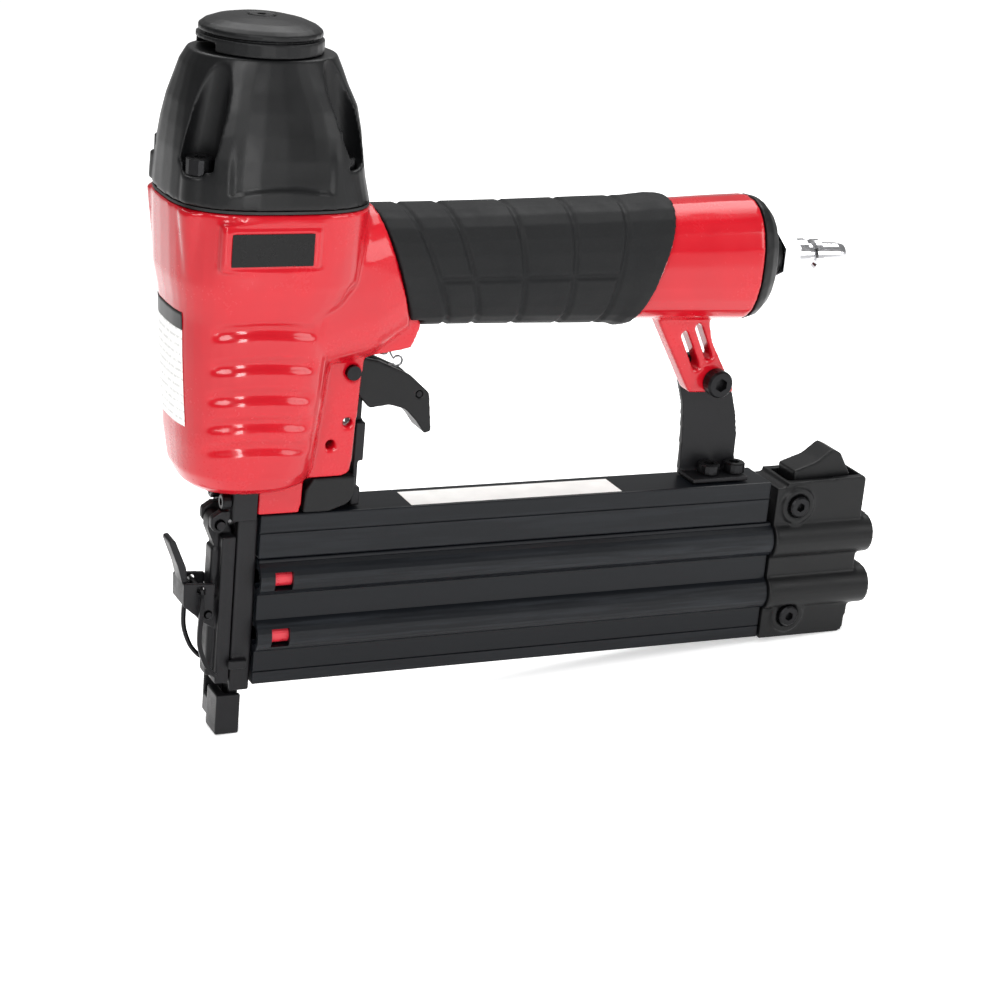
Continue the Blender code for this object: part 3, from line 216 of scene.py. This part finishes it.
def finish(name, base, rough=(0.3, 0.5), patch=60.0, grain=2500.0, bump=(0.15, 0.00004), metallic=0.0, shade=0.75,
           wear=None, coat=0.0, coat_rough=0.05, stretch=(1.0, 1.0, 1.0), specular=0.5, dust=0.0):
    """A material whose colour, roughness and bump vary over the surface, with optional worn edges."""
    if not GROUPS:
        GROUPS["surface"], GROUPS["wear"] = surface_group(), wear_group()
    material = bpy.data.materials.new(name)
    material.use_nodes = True
    tree = material.node_tree
    shader = tree.nodes["Principled BSDF"]
    shader.inputs["Metallic"].default_value = metallic
    shader.inputs["Specular IOR Level"].default_value = specular
    shader.inputs["Coat Weight"].default_value = coat
    shader.inputs["Coat Roughness"].default_value = coat_rough
    where = tree.nodes.new("ShaderNodeTexCoord")
    mapping = tree.nodes.new("ShaderNodeMapping")
    mapping.inputs["Scale"].default_value = stretch
    tree.links.new(where.outputs["Object"], mapping.inputs["Vector"])
    surface = place_group(tree, GROUPS["surface"], Patch_Scale=patch, Grain_Scale=grain, Smoothest=rough[0],
                          Roughest=rough[1])
    tree.links.new(mapping.outputs["Vector"], surface.inputs["Vector"])
    tone = remap(tree, surface.outputs["Patch"], 0.35, 0.65)
    result = mix_colour(tree, tone, tuple(c * shade for c in base), tuple(base))
    if dust:
        pale = remap(tree, surface.outputs["Grain"], 0.55, 0.75, 0.0, dust)
        result = mix_colour(tree, pale, result, tuple(min(1.0, c * 3 + 0.05) for c in base))
    if wear:
        worn_colour, amount, start, full = wear
        rubbed = place_group(tree, GROUPS["wear"], Start=start, Full=full, Amount=amount)
        tree.links.new(mapping.outputs["Vector"], rubbed.inputs["Vector"])
        result = mix_colour(tree, rubbed.outputs["Mask"], result, worn_colour)
    tree.links.new(result, shader.inputs["Base Color"])
    tree.links.new(surface.outputs["Roughness"], shader.inputs["Roughness"])
    relief = tree.nodes.new("ShaderNodeBump")
    relief.inputs["Strength"].default_value = bump[0]
    relief.inputs["Distance"].default_value = bump[1]
    tree.links.new(surface.outputs["Grain"], relief.inputs["Height"])
    tree.links.new(relief.outputs["Normal"], shader.inputs["Normal"])
    FINISHES[name] = material
    return material


def make_finishes(colours):
    finish("red_enamel", colours.paint, (0.2, 0.3), 28.0, 900.0, (0.08, 0.00005), shade=0.9,
           specular=0.25, coat=0.4, coat_rough=0.05)
    finish("powder_black", colours.black, (0.33, 0.43), 45.0, 2600.0, (0.3, 0.00006), shade=0.8,
           specular=0.24, wear=((0.014, 0.014, 0.015), 0.4, 0.55, 0.64))
    finish("moulded_black", colours.black, (0.36, 0.48), 55.0, 3000.0, (0.25, 0.00005), shade=0.8, dust=0.05,
           specular=0.22, wear=((0.013, 0.013, 0.014), 0.4, 0.55, 0.64))
    finish("trigger_black", colours.black, (0.3, 0.4), 80.0, 3500.0, (0.2, 0.00004), shade=0.8, specular=0.22)
    finish("grip_rubber", colours.rubber, (0.55, 0.72), 60.0, 3800.0, (0.5, 0.0001), shade=0.75, dust=0.12,
           specular=0.2, wear=((0.014, 0.014, 0.015), 0.5, 0.54, 0.64))
    finish("seal_rubber", colours.rubber, (0.6, 0.75), 70.0, 2500.0, (0.3, 0.00006), shade=0.8)
    finish("anodised_rail", colours.anodised, (0.3, 0.36), 50.0, 1600.0, (0.1, 0.00002),
           shade=0.9, stretch=(0.06, 1.0, 1.0), specular=0.2, wear=((0.026, 0.03, 0.036), 0.5, 0.56, 0.66))
    finish("black_oxide", colours.steel, (0.32, 0.5), 90.0, 2200.0, (0.3, 0.00005), metallic=0.25, shade=0.75,
           specular=0.26, wear=((0.05, 0.05, 0.052), 0.6, 0.54, 0.62))
    finish("screw_black", colours.steel, (0.28, 0.42), 200.0, 3000.0, (0.2, 0.00003), metallic=0.7, shade=0.75)
    finish("chrome", colours.chrome, (0.08, 0.2), 160.0, 2500.0, (0.06, 0.00002), metallic=1.0, shade=0.93)
    finish("zinc_wire", (0.16, 0.16, 0.165), (0.28, 0.42), 200.0, 2500.0, (0.1, 0.00002), metallic=1.0, shade=0.7)
    finish("turned_aluminium", (0.55, 0.55, 0.56), (0.25, 0.4), 120.0, 1800.0, (0.12, 0.00002), metallic=1.0,
           shade=0.85, stretch=(1.0, 1.0, 12.0))
    finish("indicator_red", colours.indicator, (0.25, 0.4), 200.0, 2500.0, (0.15, 0.00003), shade=0.85)
    finish("plate_black", (0.004, 0.004, 0.0042), (0.22, 0.3), 90.0, 2500.0, (0.08, 0.00002), shade=0.85,
           specular=0.2)
    finish("sticker_white", colours.label, (0.35, 0.5), 90.0, 2600.0, (0.1, 0.00002), shade=0.93)


# ---------------------------------------------------------------- shaping helpers
def welded(node):
    """A bmesh of a CAD node with its loose triangles joined."""
    bm = bmesh.new()
    bm.from_mesh(frame["nodes"][node].data)
    bmesh.ops.remove_doubles(bm, verts=bm.verts, dist=2e-6)
    return bm


def new_piece(name, bm, material):
    mesh = bpy.data.meshes.new(name)
    bm.to_mesh(mesh)
    bm.free()
    piece = bpy.data.objects.new(name, mesh)
    bpy.context.scene.collection.objects.link(piece)
    mesh.materials.append(FINISHES[material])
    mesh.shade_smooth()
    return piece


def applied(piece):
    """Fix a piece's modifiers into its mesh."""
    graph = bpy.context.evaluated_depsgraph_get()
    graph.update()
    mesh = bpy.data.meshes.new_from_object(piece.evaluated_get(graph))
    old = piece.data
    piece.modifiers.clear()
    piece.data = mesh
    mesh.name = piece.name
    bpy.data.meshes.remove(old)


def moulded(name, node, material, voxel, rounds=4, shape=None, extras=(), most=170000):
    """A CAD node's shape with its edges softened, as a casting or a moulding has them."""
    bm = welded(node)
    for extra in extras:
        extra(bm)
    piece = new_piece(name, bm, material)
    remesh = piece.modifiers.new("Soften", "REMESH")
    remesh.mode = "VOXEL"
    remesh.voxel_size = voxel
    smooth = piece.modifiers.new("Smooth", "SMOOTH")
    smooth.factor = 0.5
    smooth.iterations = rounds
    applied(piece)
    if shape:
        for vertex in piece.data.vertices:
            place = vertex.co
            moved = shape((place.x - AXIS_X) / MM, place.y / MM, place.z / MM)
            if moved:
                vertex.co = Vector((moved[0] * MM + AXIS_X, moved[1] * MM, moved[2] * MM))
    triangles = 2 * len(piece.data.polygons)
    if triangles > most:
        thin = piece.modifiers.new("Thin", "DECIMATE")
        thin.ratio = most / triangles
        applied(piece)
    piece.data.shade_smooth()
    stand_for(piece, node)
    return piece


def stand_for(piece, node):
    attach(piece, BODY_OF[node])
    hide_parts(node)


def paint_node(material, *nodes):
    for node in nodes:
        for slot in frame["nodes"][node].material_slots:
            slot.material = FINISHES[material]


def smoothstep(low, high, value):
    t = min(1.0, max(0.0, (value - low) / (high - low)))
    return t * t * (3 - 2 * t)


def groove(distance, half_width):
    t = abs(distance) / half_width
    return (1 - t * t) ** 2 if t < 1 else 0.0


def post(x, y, low, high, low_radius, high_radius, sides=24):
    """An extra upright post for a remeshed piece."""
    def build(bm):
        made = bmesh.ops.create_cone(bm, cap_ends=True, segments=sides, radius1=low_radius * MM,
                                     radius2=high_radius * MM, depth=(high - low) * MM)
        bmesh.ops.translate(bm, vec=Vector((x * MM + AXIS_X, y * MM, (high + low) / 2 * MM)), verts=made["verts"])
    return build


# ---------------------------------------------------------------- casting and head
RIB_LEVELS = (144.5, 133.5, 123.4, 114.2, 106.0)
RIB_FRONT, RIB_BACK = -16.0, 15.0


def casting_shape(x, y, z):
    """Grooves between the ribs on both cheeks and a second frame round the plate."""
    side = 1.0 if y > 0 else -1.0
    depth = bpy.context.scene.nail_gun_sizes.rib_depth / MM
    if abs(y) > 15 and 98 < z < 152 and x < 24:
        inside = smoothstep(RIB_FRONT - 3, RIB_FRONT + 2, x) * (1 - smoothstep(RIB_BACK - 2, RIB_BACK + 3, x))
        cut = max(groove(z - level + 0.05 * (x + 2) * (x + 2) / 8, 3.2) for level in RIB_LEVELS)
        if cut * inside > 0.001:
            return x, y - side * depth * cut * inside, z
    if y < -20 and 160 < z < 181:
        across, up = abs(x + 2.1) - 17.2, abs(z - 170.9) - 7.4
        outside = math.hypot(max(across + 2, 0.0), max(up + 2, 0.0)) - 2
        ring = groove(outside + 1.1, 0.9)
        if ring > 0.001:
            return x, y + 0.45 * ring, z
    return None


def cap_shape(x, y, z):
    """The step above the base band, arched on the cheeks."""
    depth = bpy.context.scene.nail_gun_sizes.crease_depth / MM
    if abs(y) < 19 or z > 206:
        return None
    crease = 188.6 - 0.0075 * (x - 1) * (x - 1)
    step = smoothstep(crease - 0.5, crease + 0.7, z) * (1 - smoothstep(191.0, 206.0, z))
    side = 1.0 if y > 0 else -1.0
    inside = 1 - smoothstep(14.5, 17.5, abs(x - 0.5))
    if step * inside < 0.001:
        return None
    return x, y - side * depth * step * inside, z


class NAILGUN_OT_casting(Operator):
    """The enamelled casting with ribs, plate frame and screw columns"""
    bl_idname = "nail_gun.casting"
    bl_label = "Casting"

    def execute(self, context):
        columns = [post(x, y, 158.0, 180.6, 3.0, 6.0) for x in (-SCREW_X, SCREW_X) for y in (-SCREW_Y, SCREW_Y)]
        moulded("painted_casting", "body_casting", "red_enamel", 0.0008, 5, casting_shape, columns, 190000)
        paint_node("seal_rubber", "head_gasket", "bumper", "piston_ring")
        paint_node("plate_black", "name_plate")
        paint_node("turned_aluminium", "cylinder_sleeve", "head_valve", "piston", "trigger_valve_body")
        return {"FINISHED"}


class NAILGUN_OT_cap(Operator):
    """The powder-coated cap and the exhaust deflector that turns on it"""
    bl_idname = "nail_gun.cap"
    bl_label = "Cap and deflector"

    def execute(self, context):
        columns = [post(x, y, 182.8, 191.2, 5.5, 5.3) for x in (-SCREW_X, SCREW_X) for y in (-SCREW_Y, SCREW_Y)]
        moulded("head_cap", "cylinder_cap", "powder_black", 0.0006, 5, cap_shape, columns)
        moulded("deflector", "exhaust_deflector", "moulded_black", 0.0004, 3)
        paint_node("screw_black", "cap_screw_1", "cap_screw_2", "cap_screw_3", "cap_screw_4", "deflector_screw")
        return {"FINISHED"}


# ---------------------------------------------------------------- handle
TREADS = ((58.0, 8.0), (70.0, 6.0), (88.0, 2.0), (106.0, 0.0), (123.0, -3.0))


def grip_shape(x, y, z):
    """Grooves across the sleeve and one along each side, which leave two rows of raised pads."""
    up = z - HANDLE_Z
    if (abs(y) / 15.2) ** 2.3 + (abs(up) / 18.6) ** 2.3 < 1.0 or not 44 < x < 131:
        return None
    depth = bpy.context.scene.nail_gun_sizes.tread_depth / MM
    across = max(groove(x - place + lean * up / 20.0, 1.5) for place, lean in TREADS)
    front, back = 58.0 - 8.0 * up / 20.0, 123.0 + 3.0 * up / 20.0
    along = groove(up + 1.5, 1.6) * smoothstep(front - 1, front, x) * (1 - smoothstep(back, back + 1, x))
    fade = smoothstep(front - 3, front, x) * (1 - smoothstep(back, back + 4, x))
    cut = max(across, along) * fade
    if cut < 0.001:
        return None
    length = math.hypot(y, up)
    shrink = 1 - depth * cut / length
    return x, y * shrink, HANDLE_Z + up * shrink


class NAILGUN_OT_handle(Operator):
    """The rubber grip with its pads, the handle's end cap and the chromed air plug"""
    bl_idname = "nail_gun.handle"
    bl_label = "Handle"

    def execute(self, context):
        moulded("grip", "grip_sleeve", "grip_rubber", 0.0006, 4, grip_shape)
        moulded("handle_cap", "handle_end_cap", "moulded_black", 0.0006, 3)
        paint_node("chrome", "air_plug")
        return {"FINISHED"}


# ---------------------------------------------------------------- trigger, nose and safety
class NAILGUN_OT_trigger(Operator):
    """The trigger with its lever, pins, spring and valve"""
    bl_idname = "nail_gun.trigger"
    bl_label = "Trigger"

    def execute(self, context):
        moulded("trigger_blade", "trigger", "trigger_black", 0.0004, 3)
        paint_node("black_oxide", "trip_lever")
        paint_node("screw_black", "trigger_pin", "trip_lever_pin")
        paint_node("zinc_wire", "trigger_spring", "valve_spring", "valve_stem")
        return {"FINISHED"}


class NAILGUN_OT_nose(Operator):
    """The nose with its door, latch, contact tip and safety arm"""
    bl_idname = "nail_gun.nose"
    bl_label = "Nose"

    def execute(self, context):
        for name, node, voxel in (("nose_guide", "nose_body", 0.0004), ("door_plate", "nose_door", 0.0004),
                                  ("latch_channel", "latch_lever", 0.0003), ("work_tip", "contact_tip", 0.0003),
                                  ("arm_strip", "safety_arm", 0.0004)):
            moulded(name, node, "black_oxide", voxel, 2)
        moulded("spring_cover", "safety_cover", "moulded_black", 0.0005, 3)
        paint_node("screw_black", "nose_screw_near", "nose_screw_far", "door_hinge_pin", "latch_pin", "latch_bail")
        paint_node("zinc_wire", "safety_spring", "driver_blade", "head_valve_spring")
        return {"FINISHED"}


# ---------------------------------------------------------------- magazine and hanger
class NAILGUN_OT_magazine(Operator):
    """The anodised rail and cover, the moulded end cap, thumb latch and pusher"""
    bl_idname = "nail_gun.magazine"
    bl_label = "Magazine"

    def execute(self, context):
        moulded("end_moulding", "magazine_end_cap", "moulded_black", 0.0006, 4)
        moulded("thumb_piece", "magazine_latch", "moulded_black", 0.0005, 3)
        paint_node("anodised_rail", "magazine_rail", "magazine_cover")
        paint_node("screw_black", "end_cap_screw_upper", "end_cap_screw_lower", "magazine_latch_pin")
        paint_node("black_oxide", "pusher")
        paint_node("zinc_wire", "guide_rod_upper", "guide_rod_lower", "pusher_spring_upper",
                   "pusher_spring_lower", "magazine_latch_spring")
        paint_node("indicator_red", "indicator_upper", "indicator_lower")
        return {"FINISHED"}


class NAILGUN_OT_hanger(Operator):
    """The bracket that ties the magazine to the handle, with its screws and bolt"""
    bl_idname = "nail_gun.hanger"
    bl_label = "Hanger bracket"

    def execute(self, context):
        moulded("bracket", "hanger_bracket", "black_oxide", 0.0004, 2)
        paint_node("screw_black", "hanger_screw_front", "hanger_screw_rear", "lug_bolt", "lug_nut")
        return {"FINISHED"}


# ---------------------------------------------------------------- stickers
RAIL_LABEL_LENGTH, RAIL_LABEL_WIDTH = 0.078, 0.0125
RAIL_LABEL_X, RAIL_LABEL_Y = 0.098, -0.0012
FRONT_LABEL_LOW, FRONT_LABEL_HIGH, FRONT_LABEL_HALF = 0.1108, 0.1475, 0.0125
FRONT_LABEL_HEADER = 0.1419
LIFT = 0.00003                    # film of air under the rail label


def banded_sticker(name, header_low):
    """White sticker stock with a black header and a few plain grey rules below it."""
    material = bpy.data.materials.new(name)
    material.use_nodes = True
    tree = material.node_tree
    shader = tree.nodes["Principled BSDF"]
    shader.inputs["Roughness"].default_value = 0.4
    where = tree.nodes.new("ShaderNodeTexCoord")
    parts = tree.nodes.new("ShaderNodeSeparateXYZ")
    tree.links.new(where.outputs["Object"], parts.inputs["Vector"])
    up = parts.outputs["Z"]
    header = math_node(tree, "GREATER_THAN", up, header_low)
    cycle = math_node(tree, "FRACT", math_node(tree, "MULTIPLY", up, 380.0))
    rule = math_node(tree, "MULTIPLY", math_node(tree, "GREATER_THAN", cycle, 0.72),
                     remap(tree, noise_node(tree, where.outputs["Object"], 700.0), 0.4, 0.55, 0.0, 0.45))
    stock = tuple(bpy.context.scene.nail_gun_colours.label)
    paper = mix_colour(tree, rule, stock, (0.3, 0.3, 0.3))
    tree.links.new(mix_colour(tree, header, paper, (0.01, 0.01, 0.01)), shader.inputs["Base Color"])
    FINISHES[name] = material


class NAILGUN_OT_stickers(Operator):
    """The blank white sticker on the rail and the one with a black header on the front of the head"""
    bl_idname = "nail_gun.stickers"
    bl_label = "Stickers"

    def execute(self, context):
        thickness = context.scene.nail_gun_sizes.label_thickness
        bm = bmesh.new()
        bmesh.ops.create_grid(bm, x_segments=24, y_segments=4, size=0.5)
        bmesh.ops.scale(bm, vec=Vector((RAIL_LABEL_LENGTH, RAIL_LABEL_WIDTH, 1.0)), verts=bm.verts)
        bmesh.ops.translate(bm, vec=Vector((AXIS_X + RAIL_LABEL_X, RAIL_LABEL_Y, RAIL_BOX[1][2] + LIFT)),
                            verts=bm.verts)
        bmesh.ops.solidify(bm, geom=bm.faces[:], thickness=-thickness)
        bmesh.ops.recalc_face_normals(bm, faces=bm.faces)
        rail = new_piece("rail_sticker", bm, "sticker_white")
        rail.data.shade_flat()
        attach(rail, "tool")

        head = bpy.data.objects["painted_casting"].data
        tree = BVHTree.FromPolygons([v.co for v in head.vertices], [p.vertices for p in head.polygons])
        bm = bmesh.new()
        bmesh.ops.create_grid(bm, x_segments=28, y_segments=32, size=0.5)
        for vertex in bm.verts:
            height = FRONT_LABEL_LOW + (vertex.co.y + 0.5) * (FRONT_LABEL_HIGH - FRONT_LABEL_LOW)
            start = Vector((AXIS_X - 0.06, vertex.co.x * 2 * FRONT_LABEL_HALF, height))
            hit, normal, _, _ = tree.ray_cast(start, Vector((1, 0, 0)))
            if hit is None:
                raise RuntimeError("the front sticker misses the casting")
            vertex.co = hit + normal * 0.00008
        for _ in range(3):
            bmesh.ops.smooth_vert(bm, verts=bm.verts, factor=0.4, use_axis_x=True)
        bmesh.ops.recalc_face_normals(bm, faces=bm.faces)
        if sum(face.normal.x for face in bm.faces) > 0:
            bmesh.ops.reverse_faces(bm, faces=bm.faces)
        bmesh.ops.solidify(bm, geom=bm.faces[:], thickness=-thickness)
        bmesh.ops.recalc_face_normals(bm, faces=bm.faces)
        banded_sticker("sticker_header", FRONT_LABEL_HEADER)
        front = new_piece("front_sticker", bm, "sticker_header")
        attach(front, "tool")
        return {"FINISHED"}


# ---------------------------------------------------------------- stage
VIEW_AZIMUTH, VIEW_ELEVATION, VIEW_ROLL = math.radians(-26.0), math.radians(19.3), math.radians(5.4)
VIEW_RIGHT, VIEW_ABOVE, VIEW_DISTANCE = 0.09274, 0.07579, 0.831
FLOOR_HALF_SIZE, FLOOR_DROP, FLOOR_GLOW = 4.0, 0.0002, 0.5
WORLD_LIGHT = 0.3


def add_area(name, place, target, width, height, power, tint=(1.0, 1.0, 1.0)):
    light = bpy.data.lights.new(name, "AREA")
    light.shape = "RECTANGLE"
    light.size, light.size_y = width, height
    light.energy = power
    light.color = tint
    lamp = bpy.data.objects.new(name, light)
    bpy.context.scene.collection.objects.link(lamp)
    lamp.location = place
    lamp.rotation_euler = (Vector(target) - Vector(place)).to_track_quat("-Z", "Y").to_euler()
    return lamp


class NAILGUN_OT_stage(Operator):
    """The pale floor, the soft studio lights and the camera"""
    bl_idname = "nail_gun.stage"
    bl_label = "Stage"

    def execute(self, context):
        scene = context.scene
        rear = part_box("magazine_end_cap")
        tilt = math.atan2(rear[0][2], rear[1][0] - 0.007 - AXIS_X)
        bm = bmesh.new()
        bmesh.ops.create_grid(bm, x_segments=2, y_segments=2, size=FLOOR_HALF_SIZE)
        bm.transform(Matrix.Translation((AXIS_X, 0, -FLOOR_DROP)) @ Matrix.Rotation(-tilt, 4, "Y"))
        mesh = bpy.data.meshes.new("floor")
        bm.to_mesh(mesh)
        bm.free()
        floor = bpy.data.objects.new("floor", mesh)
        scene.collection.objects.link(floor)
        pale = bpy.data.materials.new("pale_floor")
        pale.use_nodes = True
        shader = pale.node_tree.nodes["Principled BSDF"]
        shader.inputs["Base Color"].default_value = (0.9, 0.9, 0.9, 1.0)
        shader.inputs["Roughness"].default_value = 0.9
        shader.inputs["Emission Color"].default_value = (1.0, 1.0, 1.0, 1.0)
        shader.inputs["Emission Strength"].default_value = FLOOR_GLOW
        mesh.materials.append(pale)

        world = bpy.data.worlds.new("studio")
        scene.world = world
        world.use_nodes = True
        background = world.node_tree.nodes["Background"]
        background.inputs["Color"].default_value = (1.0, 1.0, 1.0, 1.0)
        background.inputs["Strength"].default_value = WORLD_LIGHT
        scene.view_settings.view_transform = "Standard"
        add_area("key", (-0.55, -0.75, 0.85), (0.0, 0.0, 0.12), 0.4, 0.55, 6.8)
        add_area("strip", (-0.1, -0.95, 0.3), (-0.02, 0.0, 0.13), 0.08, 0.6, 3.2)
        add_area("fill", (0.75, -0.65, 0.5), (0.03, 0.0, 0.12), 0.45, 0.45, 3.0)
        add_area("top", (0.1, 0.35, 1.1), (0.0, 0.0, 0.1), 1.4, 0.9, 17.0)

        back = Vector((math.sin(VIEW_AZIMUTH) * math.cos(VIEW_ELEVATION),
                       -math.cos(VIEW_AZIMUTH) * math.cos(VIEW_ELEVATION), math.sin(VIEW_ELEVATION)))
        level = Vector((math.cos(VIEW_AZIMUTH), math.sin(VIEW_AZIMUTH), 0.0))
        upright = back.cross(level)
        right = math.cos(VIEW_ROLL) * level + math.sin(VIEW_ROLL) * upright
        above = math.cos(VIEW_ROLL) * upright - math.sin(VIEW_ROLL) * level
        data = bpy.data.cameras.new("camera")
        data.lens, data.sensor_width = 90.0, 36.0
        data.clip_start, data.clip_end = 0.05, 20.0
        camera = bpy.data.objects.new("camera", data)
        scene.collection.objects.link(camera)
        place = Vector((AXIS_X, 0.0, 0.0)) + right * VIEW_RIGHT + above * VIEW_ABOVE + back * VIEW_DISTANCE
        camera.matrix_world = Matrix((
            (right.x, above.x, back.x, place.x), (right.y, above.y, back.y, place.y),
            (right.z, above.z, back.z, place.z), (0.0, 0.0, 0.0, 1.0)))
        scene.camera = camera
        return {"FINISHED"}


class NAILGUN_PT_panel(Panel):
    """Lists the nail gun's settings and build steps"""
    bl_idname = "NAILGUN_PT_panel"
    bl_label = "Nail gun"
    bl_space_type = "VIEW_3D"
    bl_region_type = "UI"
    bl_category = "Nail gun"

    def draw(self, context):
        for group in (context.scene.nail_gun_sizes, context.scene.nail_gun_colours):
            for name in group.__annotations__:
                self.layout.prop(group, name)
        for step in STEPS:
            self.layout.operator(step.bl_idname)


STEPS = (NAILGUN_OT_casting, NAILGUN_OT_cap, NAILGUN_OT_handle, NAILGUN_OT_trigger, NAILGUN_OT_nose,
         NAILGUN_OT_magazine, NAILGUN_OT_hanger, NAILGUN_OT_stickers, NAILGUN_OT_stage)
CLASSES = (NailGunSizes, NailGunColours, *STEPS, NAILGUN_PT_panel)


def register():
    for kind in CLASSES:
        bpy.utils.register_class(kind)
    bpy.types.Scene.nail_gun_sizes = PointerProperty(type=NailGunSizes)
    bpy.types.Scene.nail_gun_colours = PointerProperty(type=NailGunColours)


def unregister():
    del bpy.types.Scene.nail_gun_colours
    del bpy.types.Scene.nail_gun_sizes
    for kind in reversed(CLASSES):
        bpy.utils.unregister_class(kind)


def main():
    register()
    make_finishes(bpy.context.scene.nail_gun_colours)
    bpy.ops.nail_gun.casting()
    bpy.ops.nail_gun.cap()
    bpy.ops.nail_gun.handle()
    bpy.ops.nail_gun.trigger()
    bpy.ops.nail_gun.nose()
    bpy.ops.nail_gun.magazine()
    bpy.ops.nail_gun.hanger()
    bpy.ops.nail_gun.stickers()
    bpy.ops.nail_gun.stage()


if __name__ == "__main__":
    main()
